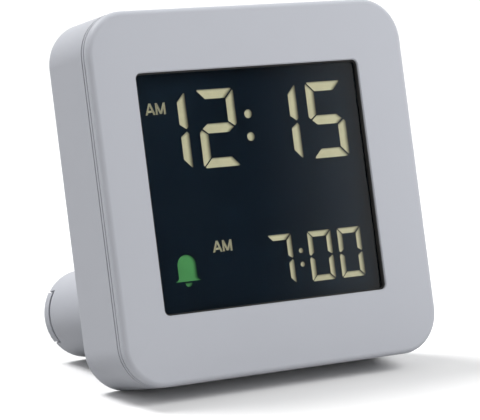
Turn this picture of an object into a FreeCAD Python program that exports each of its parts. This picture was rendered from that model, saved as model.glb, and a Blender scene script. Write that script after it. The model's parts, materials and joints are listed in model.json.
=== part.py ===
import FreeCAD, Part
import math
import os
import re
import Sketcher
from FreeCAD import Placement, Rotation, Vector

# A small digital alarm clock that leans back on a battery box behind it.
#
# Every piece is drawn with the clock upright: x runs to the right, y back from the front
# face and z up, from the middle of the face. The last step leans all of them back together
# and sets the clock on the floor, with the origin below the middle of its box.

# Sizes: name, value in millimetres or degrees, what it is
SIZES = [
    ("face_width", 75.0, "front face, side to side"),
    ("face_height", 75.0, "front face, bottom to top"),
    ("corner_radius", 8.9, "rounded corners of the face, seen from the front"),
    ("front_round", 1.2, "rounding of the front edge"),
    ("rear_round", 1.6, "rounding of the rear edge"),
    ("slab_depth", 18.4, "front face to back wall"),
    ("lean_angle", 13.9, "how far the face leans back from upright"),
    ("rim_depth", 1.85, "full-size rim of the bezel, seen from the side"),
    ("score_width", 0.3, "shadow line around the bezel, behind its rim"),
    ("score_depth", 0.3, "depth of the shadow line"),
    ("band_width", 0.6, "band of the bezel between shadow line and seam"),
    ("seam_width", 0.35, "seam between bezel and rear case"),
    ("seam_inset", 0.8, "depth of the seam"),
    ("case_wall", 1.8, "wall of the rear case"),
    ("plate_thickness", 2.0, "front plate of the bezel"),
    ("lip_thickness", 1.2, "lip of the bezel inside the rear case"),
    ("lip_reach", 2.5, "how far the lip goes into the rear case"),
    ("seat_gap", 0.15, "room between pieces that seat in each other"),
    ("border_left", 10.0, "face left of the display opening"),
    ("border_right", 12.0, "face right of the display opening"),
    ("border_top", 12.7, "face above the display opening"),
    ("border_bottom", 13.9, "face below the display opening"),
    ("window_corner", 1.2, "corners of the display opening"),
    ("window_edge_bevel", 0.2, "bevel of the opening's front edge"),
    ("window_recess", 1.1, "window glass behind the front face"),
    ("window_thickness", 1.5, "clear window"),
    ("window_overlap", 1.6, "window glass past each side of the opening"),
    ("glass_overlap", 1.8, "display glass past each side of the opening"),
    ("front_glass", 1.1, "front glass of the display"),
    ("rear_glass", 1.7, "rear glass of the display with its polarisers"),
    ("contact_ledge", 2.6, "strip of front glass left bare for the contacts"),
    ("guide_thickness", 2.6, "light guide"),
    ("guide_margin", 0.8, "light guide past each side of the opening"),
    ("holder_wall", 1.2, "side wall of the display holder"),
    ("holder_back", 0.9, "back wall of the display holder"),
    ("strip_thickness", 2.0, "rubber contact strip, bottom to top"),
    ("strip_margin", 1.5, "rubber contact strip short of each side of the opening"),
    ("led_length", 3.2, "lamp of the light guide, bottom to top"),
    ("led_width", 1.6, "lamp of the light guide, side to side"),
    ("led_height", 2.3, "lamp of the light guide, off the board"),
    ("led_spread", 8.0, "lamps above and below the middle"),
    ("board_margin", 4.5, "circuit board inside the sides of the face"),
    ("board_notch", 6.0, "square notch at each corner of the board"),
    ("board_thickness", 1.6, "circuit board"),
    ("case_screw_inset", 5.9, "case screws inside the sides of the face"),
    ("boss_radius", 2.8, "screw bosses of the bezel"),
    ("head_wall", 0.6, "wall around a sunk screw head"),
    ("bezel_boss_end", 7.9, "where the bezel's bosses end, behind the face"),
    ("boss_gap", 0.1, "gap between facing bosses"),
    ("case_shank_radius", 1.3, "thread of a case screw"),
    ("case_pilot_radius", 1.1, "hole that a case screw bites into"),
    ("case_hole_radius", 1.5, "clear hole for a case screw"),
    ("case_head_radius", 2.6, "head of a case screw"),
    ("case_head_height", 1.8, "head of a case screw"),
    ("case_head_depth", 2.4, "depth of the sunk seat for a case screw's head"),
    ("case_head_room", 0.3, "room around a case screw's head"),
    ("screw_bite", 3.3, "case screw inside the bezel's boss"),
    ("post_spread_x", 20.0, "board posts beside the middle"),
    ("post_inset", 6.7, "board posts inside the top and bottom of the face"),
    ("post_radius", 2.0, "posts that carry the board"),
    ("board_shank_radius", 0.9, "thread of a board screw"),
    ("board_pilot_radius", 0.75, "hole that a board screw bites into"),
    ("board_hole_radius", 1.05, "clear hole for a board screw"),
    ("board_head_radius", 1.9, "head of a board screw"),
    ("board_head_height", 1.2, "head of a board screw"),
    ("board_screw_length", 5.4, "board screw below its head"),
    ("pilot_spare", 0.7, "pilot hole past the end of its screw"),
    ("stand_floor_gap", 0.42, "open end of the battery box above the floor"),
    ("stand_wall", 1.8, "wall of the battery box around its door"),
    ("stand_root_bevel", 0.8, "bevelled corner where box and back wall meet"),
    ("stand_rim_bevel", 0.3, "bevel of the battery box's open end"),
    ("door_thickness", 2.0, "battery door"),
    ("door_gap", 0.2, "gap around the battery door"),
    ("door_rest", 0.1, "gap between the door and the walls behind it"),
    ("tab_half_angle", 37.0, "half of the cut-out for each end tab of the door"),
    ("tab_side_gap", 0.45, "gap at each side of an end tab"),
    ("tab_front_gap", 0.75, "gap in front of an end tab"),
    ("tab_root", 2.3, "how far an end tab reaches inwards"),
    ("leg_length", 6.0, "legs of the door inside the battery box"),
    ("leg_thickness", 1.2, "legs of the door"),
    ("leg_width", 5.0, "legs of the door, bottom to top"),
    ("leg_set_back", 0.6, "door leg inside the wall of the battery box"),
    ("leg_bay_gap", 1.3, "gap between a door leg and the bay's end wall"),
    ("leg_room", 1.0, "room past the end of a door leg"),
    ("grip_shift", 17.0, "grip grooves of the door, right of the middle"),
    ("grip_spacing", 2.0, "grip grooves of the door, middle to middle"),
    ("grip_width", 0.8, "grip grooves of the door"),
    ("grip_depth", 0.5, "grip grooves of the door"),
    ("grip_length", 8.0, "grip grooves of the door, bottom to top"),
    ("cell_radius", 5.25, "small round cell"),
    ("cell_length", 44.5, "small round cell with its button"),
    ("cell_button_radius", 1.9, "button of a cell"),
    ("cell_button_height", 0.8, "button of a cell"),
    ("cell_gap", 0.4, "gap between the two cells"),
    ("cell_door_gap", 0.3, "gap between the rear cell and the door"),
    ("cell_floor_gap", 0.2, "gap between the front cell and the bay's floor"),
    ("throat_depth", 1.9, "back wall of the case to the floor of the bay"),
    ("bay_floor", 1.8, "floor of the battery bay"),
    ("bay_side_room", 1.35, "battery bay above and below a cell"),
    ("bay_side_wall", 2.7, "wall of the battery box above and below the bay"),
    ("bay_end_wall", 1.2, "end wall of the battery bay"),
    ("rib_gap", 0.2, "gap between the bay's ribs and a cell"),
    ("bay_rib_thickness", 1.2, "ribs in the battery bay"),
    ("bay_rib_spacing", 15.0, "ribs in the battery bay, middle to middle"),
    ("contact_sheet", 0.4, "sheet metal of the contacts"),
    ("contact_reach", 2.35, "room between a contact's sheet and the end of a cell"),
    ("contact_width", 7.4, "contact plates, bottom to top"),
    ("contact_offset", 2.1, "contact plates above or below the cell's axis"),
    ("contact_length", 9.0, "contact plates, along the stack of cells"),
    ("leaf_half_length", 3.6, "bent leaf of a contact, half its length"),
    ("dimple_radius", 2.0, "pressed dimple of a contact"),
    ("tail_width", 2.0, "solder tail of a contact"),
    ("tail_depth", 1.3, "how far a solder tail goes into the board"),
    ("foot_length", 32.0, "rubber foot, side to side"),
    ("foot_width", 8.0, "rubber foot, front to back"),
    ("foot_inset", 2.0, "rubber foot from the battery box's open end"),
    ("foot_recess", 0.5, "rubber foot let into the battery box"),
    ("bar_half_span", 13.0, "middle of each round end of the snooze bar"),
    ("bar_room", 0.6, "room before and behind the snooze bar's flange"),
    ("bar_proud", 0.3, "snooze bar above the top of the case"),
    ("bar_gap", 0.3, "gap around the snooze bar"),
    ("bar_travel", 0.8, "stroke of the snooze bar"),
    ("bar_edge_bevel", 0.25, "bevel of the snooze bar's top edge"),
    ("flange_lap", 0.6, "flange of a key past the hole it sits in"),
    ("flange_thickness", 0.8, "flange of a key"),
    ("flange_play", 0.2, "flange of a key below the wall it stops against"),
    ("rib_width", 6.0, "rib under the snooze bar, side to side"),
    ("rib_thickness", 1.6, "rib under the snooze bar, front to back"),
    ("rib_length", 1.6, "rib under the snooze bar, top to bottom"),
    ("key_radius", 3.5, "round setting keys"),
    ("key_gap", 0.25, "gap around a setting key"),
    ("key_proud", 0.8, "setting key behind the back wall"),
    ("key_travel", 0.6, "stroke of a setting key"),
    ("key_edge_bevel", 0.4, "bevel of a setting key's edge"),
    ("key_inset", 15.0, "outer setting keys inside the sides of the face"),
    ("key_height", 3.0, "row of setting keys above the middle"),
    ("switch_width", 6.0, "push switch, side to side"),
    ("switch_gap", 1.0, "gap between a push switch and the flange of its key"),
    ("switch_floor", 0.6, "floor of a push switch under its plunger"),
    ("plunger_width", 2.4, "square plunger of a push switch"),
    ("plunger_gap", 0.1, "gap around a plunger"),
    ("plunger_spare", 0.3, "room past a pressed plunger"),
    ("snooze_switch_height", 3.5, "snooze switch, bottom to top"),
    ("snooze_switch_room", 1.3, "gap between the snooze switch and the back wall"),
    ("slider_inset", 21.5, "alarm slider's window inside the left side of the face"),
    ("slider_inset_top", 17.5, "alarm slider inside the top of the face"),
    ("slider_travel", 4.0, "stroke of the alarm slider"),
    ("slider_length", 4.0, "knob of the alarm slider, side to side"),
    ("slider_height", 3.4, "knob of the alarm slider, bottom to top"),
    ("slider_gap", 0.3, "gap around the slider's knob"),
    ("slider_proud", 0.6, "slider's knob behind the back wall"),
    ("slider_groove", 0.5, "grip grooves of the slider's knob"),
    ("slider_dish", 0.6, "hollow around the slider's window"),
    ("slider_dish_margin", 2.0, "hollow past the slider's window"),
    ("slide_body_length", 9.2, "slide switch, side to side"),
    ("slide_body_width", 4.0, "slide switch, bottom to top"),
    ("slide_body_gap", 1.5, "gap between the slide switch and its knob's apron"),
    ("lever_width", 1.2, "lever of the slide switch"),
    ("lever_gap", 0.15, "gap around the lever"),
    ("lever_depth", 1.2, "lever inside its switch"),
    ("lever_bite", 0.6, "lever inside the knob"),
    ("sound_inset", 21.5, "sounder inside the right side of the face"),
    ("sound_inset_top", 17.5, "sounder inside the top of the face"),
    ("sound_slot_length", 10.0, "sound slots, side to side"),
    ("sound_slot_width", 1.2, "sound slots, bottom to top"),
    ("sound_slot_spacing", 2.4, "sound slots, middle to middle"),
    ("sounder_radius", 6.0, "sounder"),
    ("sounder_gap", 1.3, "gap between the sounder and the back wall"),
    ("sounder_mouth_radius", 1.2, "hole in the sounder"),
    ("chip_radius", 6.0, "resin dome over the chip"),
    ("chip_slope", 1.4, "how far the dome's top stands in from its edge"),
    ("chip_height", 1.5, "resin dome over the chip"),
    ("chip_drop", 12.0, "chip below the middle"),
    ("crystal_radius", 1.0, "quartz crystal's can"),
    ("crystal_length", 6.0, "quartz crystal's can"),
    ("crystal_z", 14.0, "quartz crystal above the middle"),
]
SOUND_SLOTS = 5
BAY_RIBS = 3
GRIP_LINES = 4
KEYS = [("time", -1.5), ("alarm", -0.5), ("minus", 0.5), ("plus", 1.5)]

doc = FreeCAD.newDocument("AlarmClock")
sheet = doc.addObject("Spreadsheet::Sheet", "Sizes")
for row, (name, value, note) in enumerate(SIZES, start=1):
    sheet.set("A%d" % row, name)
    sheet.set("B%d" % row, str(value))
    sheet.setAlias("B%d" % row, name)
    sheet.set("C%d" % row, note)
doc.recompute()

# Places and lengths that several pieces share, worked out from the sizes
SHARED = {
    "edge_round": "min(front_round; rim_depth - boss_gap)",
    "band_front": "rim_depth + score_width",
    "band_back": "band_front + band_width",
    "case_front": "band_back + seam_width",
    "lip_end": "case_front + lip_reach",
    "lip_inset": "case_wall + seat_gap",
    "back_inside": "slab_depth - case_wall",
    "back_middle": "slab_depth - case_wall / 2",
    "screw_x": "face_width / 2 - case_screw_inset",
    "screw_z": "face_height / 2 - case_screw_inset",
    "post_z": "face_height / 2 - post_inset",
    "window_left": "-face_width / 2 + border_left",
    "window_right": "face_width / 2 - border_right",
    "window_bottom": "-face_height / 2 + border_bottom",
    "window_top": "face_height / 2 - border_top",
    "display_front": "window_recess + window_thickness + seat_gap",
    "display_step": "display_front + front_glass",
    "display_back": "display_step + rear_glass",
    "display_left": "window_left - glass_overlap",
    "display_right": "window_right + glass_overlap",
    "display_bottom": "window_bottom - glass_overlap",
    "display_top": "window_top + glass_overlap",
    "guide_front": "display_back + seat_gap",
    "guide_back": "guide_front + guide_thickness",
    "guide_left": "window_left - guide_margin",
    "guide_right": "window_right + guide_margin",
    "guide_bottom": "display_bottom + contact_ledge + guide_margin",
    "guide_top": "window_top + guide_margin",
    "strip_left": "window_left + strip_margin",
    "strip_right": "window_right - strip_margin",
    "strip_bottom": "display_bottom + 2 * seat_gap",
    "board_front": "guide_back + holder_back",
    "board_back": "board_front + board_thickness",
    "board_right": "face_width / 2 - board_margin",
    "board_top": "face_height / 2 - board_margin",
    "floor_front": "slab_depth + throat_depth",
    "floor_back": "floor_front + bay_floor",
    "front_cell": "floor_back + cell_floor_gap + cell_radius",
    "rear_cell": "front_cell + 2 * cell_radius + cell_gap",
    "door_front": "rear_cell + cell_radius + cell_door_gap",
    "stand_end": "door_front + door_thickness",
    "bay_half_length": "cell_length / 2 + contact_reach + contact_sheet",
    "bay_half_height": "cell_radius + bay_side_room",
    "stand_radius": "bay_half_height + bay_side_wall",
    "stand_inner": "stand_radius - stand_wall",
    "leg_outside": "bay_half_length + bay_end_wall + leg_bay_gap + leg_thickness",
    "stand_half_span": "leg_outside + leg_set_back - stand_inner",
    "face_to_floor": "(face_height / 2 - rear_round) * cos(lean_angle)"
                     " + (slab_depth - rear_round) * sin(lean_angle) + rear_round",
    "stand_drop": "(face_to_floor - stand_end * sin(lean_angle)) / cos(lean_angle)"
                  " - stand_floor_gap - stand_radius",
    "key_flange_back": "back_inside - flange_play",
    "key_flange_front": "key_flange_back - flange_thickness",
    "key_spacing": "(face_width - 2 * key_inset) / 3",
    "switch_height": "key_flange_front - switch_gap - board_back",
    "plunger_depth": "switch_height - switch_floor - key_travel - plunger_spare",
    "snooze_switch_depth": "back_inside - snooze_switch_room - board_back",
    "snooze_plunger_depth": "snooze_switch_height - switch_floor - bar_travel - plunger_spare",
    "slide_body_height": "key_flange_front - slide_body_gap - board_back",
    "sounder_height": "back_inside - sounder_gap - board_back",
    "head_seat": "slab_depth - case_head_depth",
    "case_screw_length": "head_seat - bezel_boss_end + screw_bite",
    "bar_middle": "(lip_end + back_inside) / 2",
    "bar_radius": "(back_inside - lip_end) / 2 - bar_room - flange_lap - bar_gap",
    "bar_flange_top": "face_height / 2 - case_wall - flange_play",
    "bar_flange_bottom": "bar_flange_top - flange_thickness",
    "rib_bottom": "bar_flange_bottom - rib_length",
    "slider_x": "-face_width / 2 + slider_inset",
    "slider_z": "face_height / 2 - slider_inset_top",
    "slider_rest": "slider_x - slider_travel / 2",
    "sound_x": "face_width / 2 - sound_inset",
    "sound_z": "face_height / 2 - sound_inset_top",
}
ALIASES = {name for name, value, note in SIZES}


def formula(text):
    """Write the short form of a size out in full, as the document's expressions need it."""
    def word(match):
        name = match.group(0)
        if name in SHARED:
            return "(" + formula(SHARED[name]) + ")"
        return "Sizes." + name if name in ALIASES else name
    return re.sub(r"[a-z_]{2,}", word, text)


def number(text):
    """The value of a short form, in millimetres."""
    return float(sheet.evalExpression(formula(text)))


# Planes that the sketches lie on: origin plane, sign of the offset, direction of the normal
PLANES = {
    "face": ("XZ_Plane", "-", "front"),
    "top": ("XY_Plane", "", "up"),
    "side": ("YZ_Plane", "", "right"),
}


def new_body(name):
    body = doc.addObject("PartDesign::Body", name)
    body.Label = name
    return body


def sketch(body, name, plane, at):
    """A sketch on one of the body's own origin planes, moved to a given place along its axis."""
    role, sign, normal = PLANES[plane]
    drawing = body.newObject("Sketcher::SketchObject", name)
    support = [item for item in body.Origin.OriginFeatures if item.Role == role][0]
    drawing.AttachmentSupport = [(support, "")]
    drawing.MapMode = "FlatFace"
    drawing.setExpression("AttachmentOffset.Base.z", "%s(%s)" % (sign, formula(at)))
    return drawing


def point(across, along):
    return Vector(across, along, 0)


def bind(drawing, kind, item, corner, text):
    """Tie a point's distance from the sketch origin to a size."""
    index = drawing.addConstraint(Sketcher.Constraint(kind, -1, 1, item, corner, number(text)))
    drawing.setExpression("Constraints[%d]" % index, formula(text))


def bind_radius(drawing, item, text):
    index = drawing.addConstraint(Sketcher.Constraint("Radius", item, number(text)))
    drawing.setExpression("Constraints[%d]" % index, formula(text))


def circle(drawing, across, along, radius):
    ring = Part.Circle(point(number(across), number(along)), Vector(0, 0, 1), number(radius))
    item = drawing.addGeometry(ring, False)
    bind(drawing, "DistanceX", item, 3, across)
    bind(drawing, "DistanceY", item, 3, along)
    bind_radius(drawing, item, radius)


def polygon(drawing, corners):
    """A closed outline of straight lines, each corner given by two sizes."""
    places = [point(number(across), number(along)) for across, along in corners]
    count = len(places)
    lines = [
        drawing.addGeometry(Part.LineSegment(places[i], places[(i + 1) % count]), False)
        for i in range(count)
    ]
    for i, line in enumerate(lines):
        drawing.addConstraint(Sketcher.Constraint("Coincident", line, 2, lines[(i + 1) % count], 1))
        bind(drawing, "DistanceX", line, 1, corners[i][0])
        bind(drawing, "DistanceY", line, 1, corners[i][1])


def rectangle(drawing, left, right, bottom, top):
    polygon(drawing, [(left, bottom), (right, bottom), (right, top), (left, top)])


def arc(drawing, across, along, radius, start, end):
    """An arc from one angle to another, in degrees, counter-clockwise."""
    full = Part.Circle(point(across, along), Vector(0, 0, 1), radius)
    return drawing.addGeometry(
        Part.ArcOfCircle(full, math.radians(start), math.radians(end)), False)


def rounded(drawing, left, right, bottom, top, radius):
    """A rectangle with four equal round corners."""
    x0, x1, z0, z1 = (number(text) for text in (left, right, bottom, top))
    r = number(radius)
    lines = [
        drawing.addGeometry(Part.LineSegment(point(x0 + r, z0), point(x1 - r, z0)), False),
        drawing.addGeometry(Part.LineSegment(point(x1, z0 + r), point(x1, z1 - r)), False),
        drawing.addGeometry(Part.LineSegment(point(x1 - r, z1), point(x0 + r, z1)), False),
        drawing.addGeometry(Part.LineSegment(point(x0, z1 - r), point(x0, z0 + r)), False),
    ]
    arcs = [
        arc(drawing, x1 - r, z0 + r, r, 270, 360),
        arc(drawing, x1 - r, z1 - r, r, 0, 90),
        arc(drawing, x0 + r, z1 - r, r, 90, 180),
        arc(drawing, x0 + r, z0 + r, r, 180, 270),
    ]
    for i in range(4):
        drawing.addConstraint(Sketcher.Constraint("Tangent", lines[i], 2, arcs[i], 1))
        drawing.addConstraint(Sketcher.Constraint("Tangent", arcs[i], 2, lines[(i + 1) % 4], 1))
    for i in (1, 2, 3):
        drawing.addConstraint(Sketcher.Constraint("Equal", arcs[0], arcs[i]))
    for line in (lines[0], lines[2]):
        drawing.addConstraint(Sketcher.Constraint("Horizontal", line))
    for line in (lines[1], lines[3]):
        drawing.addConstraint(Sketcher.Constraint("Vertical", line))
    bind_radius(drawing, arcs[0], radius)
    bind(drawing, "DistanceX", lines[3], 1, left)
    bind(drawing, "DistanceX", lines[1], 1, right)
    bind(drawing, "DistanceY", lines[0], 1, bottom)
    bind(drawing, "DistanceY", lines[2], 1, top)


def slot(drawing, left, right, height, radius):
    """An outline with two straight sides and two round ends, from the middles of the ends."""
    x0, x1, z = number(left), number(right), number(height)
    r = number(radius)
    end_right = arc(drawing, x1, z, r, 270, 450)
    end_left = arc(drawing, x0, z, r, 90, 270)
    top = drawing.addGeometry(Part.LineSegment(point(x1, z + r), point(x0, z + r)), False)
    low = drawing.addGeometry(Part.LineSegment(point(x0, z - r), point(x1, z - r)), False)
    for first, second in ((end_right, top), (top, end_left), (end_left, low), (low, end_right)):
        drawing.addConstraint(Sketcher.Constraint("Tangent", first, 2, second, 1))
    drawing.addConstraint(Sketcher.Constraint("Equal", end_right, end_left))
    bind_radius(drawing, end_right, radius)
    bind(drawing, "DistanceX", end_right, 3, right)
    bind(drawing, "DistanceX", end_left, 3, left)
    bind(drawing, "DistanceY", end_right, 3, height)
    bind(drawing, "DistanceY", end_left, 3, height)


def extrude(kind, drawing, direction, length):
    """A pad or a pocket of a sketch, towards the given side, named after its sketch."""
    body = drawing.getParentGeoFeatureGroup()
    feature = body.newObject("PartDesign::" + kind, drawing.Name + kind)
    feature.Profile = drawing
    feature.setExpression("Length", formula(length))
    normal = [entry[2] for entry in PLANES.values() if entry[0] == plane_role(drawing)][0]
    along_normal = direction == normal
    feature.Reversed = along_normal if kind == "Pocket" else not along_normal
    drawing.Visibility = False
    return feature


def plane_role(drawing):
    return drawing.AttachmentSupport[0][0].Role


def pad(drawing, direction, length):
    return extrude("Pad", drawing, direction, length)


def pocket(drawing, direction, length):
    return extrude("Pocket", drawing, direction, length)


def dress(kind, body, name, wanted, size):
    """Round or bevel the edges of the body's last feature that the test picks."""
    doc.recompute()
    base = body.Tip
    edges = ["Edge%d" % i for i, edge in enumerate(base.Shape.Edges, start=1) if wanted(edge)]
    if not edges:
        raise RuntimeError("no edge found for " + name)
    feature = body.newObject("PartDesign::" + kind, name)
    feature.Base = (base, edges)
    feature.setExpression("Radius" if kind == "Fillet" else "Size", formula(size))
    return feature


def fillet(body, name, wanted, radius):
    return dress("Fillet", body, name, wanted, radius)


def chamfer(body, name, wanted, size):
    return dress("Chamfer", body, name, wanted, size)


def close(first, second):
    return abs(first - second) < 1e-4


def edge_at(axis, place, within=None):
    """A test for edges that lie in one plane, within a reach of that plane's middle."""
    def test(edge):
        box = edge.BoundBox
        low, high = {
            "y": (box.YMin, box.YMax),
            "z": (box.ZMin, box.ZMax),
        }[axis]
        if not (close(low, place) and close(high, place)):
            return False
        middle = edge.CenterOfMass
        return within is None or max(abs(middle.x), abs(middle.z)) < within
    return test


def four_corners(across, along):
    """The four places that mirror each other about the middle."""
    return [(sign_x + "(" + across + ")", sign_z + "(" + along + ")")
            for sign_x in ("", "-") for sign_z in ("", "-")]


# Bezel: front plate with a rim, a lip that plugs into the rear case, bosses and posts
def front_bezel():
    body = new_body("front_bezel")
    layers = [
        ("BezelRim", "0", "0", "rim_depth"),
        ("BezelScore", "score_depth", "0", "band_front"),
        ("BezelBand", "0", "band_front", "band_back"),
        ("BezelSeam", "seam_inset", "0", "case_front"),
        ("BezelLip", "lip_inset", "0", "lip_end"),
    ]
    for name, inset, start, end in layers:
        outline = sketch(body, name, "face", start)
        rounded(outline, "-face_width / 2 + " + inset, "face_width / 2 - " + inset,
                "-face_height / 2 + " + inset, "face_height / 2 - " + inset,
                "corner_radius - " + inset)
        pad(outline, "back", "%s - %s" % (end, start))
    fillet(body, "BezelFrontRound", edge_at("y", 0), "edge_round")

    hollow = sketch(body, "BezelHollow", "face", "plate_thickness")
    inset = "lip_inset - lip_thickness"
    rounded(hollow, "-face_width / 2 + lip_inset + lip_thickness",
            "face_width / 2 - " + inset, "-face_height / 2 + lip_inset + lip_thickness",
            "face_height / 2 - " + inset, "corner_radius - " + inset)
    pocket(hollow, "back", "lip_end - plate_thickness")

    bosses = sketch(body, "BezelBosses", "face", "plate_thickness")
    for x, z in four_corners("screw_x", "screw_z"):
        circle(bosses, x, z, "boss_radius")
    pad(bosses, "back", "bezel_boss_end - plate_thickness")
    posts = sketch(body, "BezelPosts", "face", "plate_thickness")
    for x, z in four_corners("post_spread_x", "post_z"):
        circle(posts, x, z, "post_radius")
    pad(posts, "back", "board_front - plate_thickness")

    pilots = sketch(body, "BezelPilots", "face", "bezel_boss_end")
    for x, z in four_corners("screw_x", "screw_z"):
        circle(pilots, x, z, "case_pilot_radius")
    pocket(pilots, "front", "screw_bite + pilot_spare")
    post_pilots = sketch(body, "BezelPostPilots", "face", "board_front")
    for x, z in four_corners("post_spread_x", "post_z"):
        circle(post_pilots, x, z, "board_pilot_radius")
    pocket(post_pilots, "front", "board_screw_length - board_thickness + pilot_spare")

    seat = sketch(body, "WindowSeat", "face", "window_recess")
    around = "window_overlap + seat_gap"
    window_outline(seat, around, "window_corner + " + around)
    pocket(seat, "back", "plate_thickness - window_recess")
    opening = sketch(body, "WindowOpening", "face", "0")
    window_outline(opening, "0", "window_corner")
    pocket(opening, "back", "plate_thickness")
    reach = number("min(face_width; face_height) / 2 - corner_radius / 2")
    chamfer(body, "WindowEdge", edge_at("y", 0, within=reach), "window_edge_bevel")
    return body


def window_outline(drawing, margin, radius):
    """The display opening's outline, larger by a margin all round."""
    rounded(drawing, "window_left - (" + margin + ")", "window_right + (" + margin + ")",
            "window_bottom - (" + margin + ")", "window_top + (" + margin + ")", radius)


# Rear case: moulded shell with the battery box that the clock leans on
def rear_case():
    body = new_body("rear_case")
    shell = sketch(body, "CaseShell", "face", "case_front")
    rounded(shell, "-face_width / 2", "face_width / 2", "-face_height / 2", "face_height / 2",
            "corner_radius")
    pad(shell, "back", "slab_depth - case_front")
    depth = number("slab_depth")
    fillet(body, "CaseRearRound", edge_at("y", depth), "rear_round")

    box = sketch(body, "BatteryBox", "face", "back_inside")
    slot(box, "-stand_half_span", "stand_half_span", "-stand_drop", "stand_radius")
    pad(box, "back", "stand_end - back_inside")
    chamfer(body, "BatteryBoxRoot", on_stand(depth), "stand_root_bevel")
    chamfer(body, "BatteryBoxRim", on_stand(number("stand_end")), "stand_rim_bevel")

    hollow = sketch(body, "CaseHollow", "face", "case_front")
    rounded(hollow, "-face_width / 2 + case_wall", "face_width / 2 - case_wall",
            "-face_height / 2 + case_wall", "face_height / 2 - case_wall",
            "corner_radius - case_wall")
    pocket(hollow, "back", "back_inside - case_front")

    throat = sketch(body, "BatteryThroat", "face", "back_inside")
    slot(throat, "-stand_half_span", "stand_half_span", "-stand_drop", "stand_inner")
    pocket(throat, "back", "floor_front - back_inside")
    bay = sketch(body, "BatteryBay", "face", "floor_back")
    rectangle(bay, "-bay_half_length", "bay_half_length", "-stand_drop - bay_half_height",
              "-stand_drop + bay_half_height")
    pocket(bay, "back", "stand_end - floor_back")
    ribs = sketch(body, "BayRib", "side", "-bay_rib_spacing - bay_rib_thickness / 2")
    for sign in ("+", "-"):
        near, far = "cell_radius + rib_gap", "bay_half_height + stand_wall / 2"
        low, high = (near, far) if sign == "+" else (far, near)
        rectangle(ribs, "floor_back - bay_floor / 2", "rear_cell",
                  "-stand_drop %s (%s)" % (sign, low), "-stand_drop %s (%s)" % (sign, high))
    rib = pad(ribs, "right", "bay_rib_thickness")
    doc.recompute()
    rib_row = body.newObject("PartDesign::LinearPattern", "BayRibs")
    rib_row.Originals = [rib]
    rib_row.Direction = (ribs, ["N_Axis"])
    rib_row.setExpression("Length", formula("%d * bay_rib_spacing" % (BAY_RIBS - 1)))
    rib_row.Occurrences = BAY_RIBS
    body.Tip = rib_row
    doc.recompute()
    recess = sketch(body, "DoorRecess", "face", "door_front - door_rest")
    slot(recess, "-stand_half_span", "stand_half_span", "-stand_drop", "stand_inner")
    pocket(recess, "back", "door_thickness + door_rest")
    for side, sign in (("Left", "-"), ("Right", "")):
        lobe = sketch(body, "LegPocket" + side, "face",
                      "door_front - leg_length - leg_room")
        leg_pocket(lobe, sign)
        pocket(lobe, "back", "leg_length + leg_room")
        notch = sketch(body, "TabNotch" + side, "face", "door_front - tab_front_gap")
        sector(notch, sign, "stand_radius + stand_wall", "tab_half_angle")
        pocket(notch, "back", "door_thickness + tab_front_gap")

    bosses = sketch(body, "CaseBosses", "face", "back_middle")
    for x, z in four_corners("screw_x", "screw_z"):
        circle(bosses, x, z, "case_head_radius + case_head_room + head_wall")
    pad(bosses, "front", "back_middle - bezel_boss_end - boss_gap")
    heads = sketch(body, "ScrewHeadSeats", "face", "slab_depth")
    for x, z in four_corners("screw_x", "screw_z"):
        circle(heads, x, z, "case_head_radius + case_head_room")
    pocket(heads, "front", "case_head_depth")
    holes = sketch(body, "ScrewHoles", "face", "slab_depth")
    for x, z in four_corners("screw_x", "screw_z"):
        circle(holes, x, z, "case_hole_radius")
    pocket(holes, "front", "slab_depth - bezel_boss_end")

    keys = sketch(body, "KeyHoles", "face", "slab_depth")
    for name, place in KEYS:
        circle(keys, "%g * key_spacing" % place, "key_height", "key_radius + key_gap")
    pocket(keys, "front", "case_wall")
    dish = sketch(body, "SliderDish", "face", "slab_depth")
    reach = "(slider_length + slider_travel) / 2 + slider_gap + slider_dish_margin"
    rise = "slider_height / 2 + slider_gap"
    slot(dish, "slider_x - " + reach + " + " + rise, "slider_x + " + reach + " - (" + rise + ")",
         "slider_z", rise)
    pocket(dish, "front", "slider_dish")
    window = sketch(body, "SliderWindow", "face", "slab_depth")
    reach = "(slider_length + slider_travel) / 2 + slider_gap"
    rectangle(window, "slider_x - (" + reach + ")", "slider_x + " + reach,
              "slider_z - (" + rise + ")", "slider_z + " + rise)
    pocket(window, "front", "case_wall")

    sound = sketch(body, "SoundSlot", "face", "slab_depth")
    half = "(sound_slot_length - sound_slot_width) / 2"
    slot(sound, "sound_x - " + half, "sound_x + " + half,
         "sound_z - %g * sound_slot_spacing" % ((SOUND_SLOTS - 1) / 2), "sound_slot_width / 2")
    first = pocket(sound, "front", "case_wall")
    doc.recompute()
    row = body.newObject("PartDesign::LinearPattern", "SoundSlots")
    row.Originals = [first]
    row.Direction = (sound, ["V_Axis"])
    row.setExpression("Length", formula("%d * sound_slot_spacing" % (SOUND_SLOTS - 1)))
    row.Occurrences = SOUND_SLOTS
    body.Tip = row
    doc.recompute()

    top = sketch(body, "SnoozeHole", "top", "face_height / 2")
    slot(top, "-bar_half_span", "bar_half_span", "bar_middle", "bar_radius + bar_gap")
    pocket(top, "down", "case_wall")
    tails = sketch(body, "TailSlots", "face", "floor_front")
    for low in (tail_bottom("positive"), tail_bottom("negative")):
        rectangle(tails, "-bay_half_length", "-bay_half_length + contact_sheet + seat_gap",
                  low + " - seat_gap", low + " + tail_width + seat_gap")
    pocket(tails, "back", "bay_floor")
    foot = sketch(body, "FootRecess", "top", "-stand_drop - stand_radius")
    rectangle(foot, "-foot_length / 2", "foot_length / 2",
              "stand_end - foot_inset - foot_width", "stand_end - foot_inset")
    pocket(foot, "up", "foot_recess")
    return body


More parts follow.
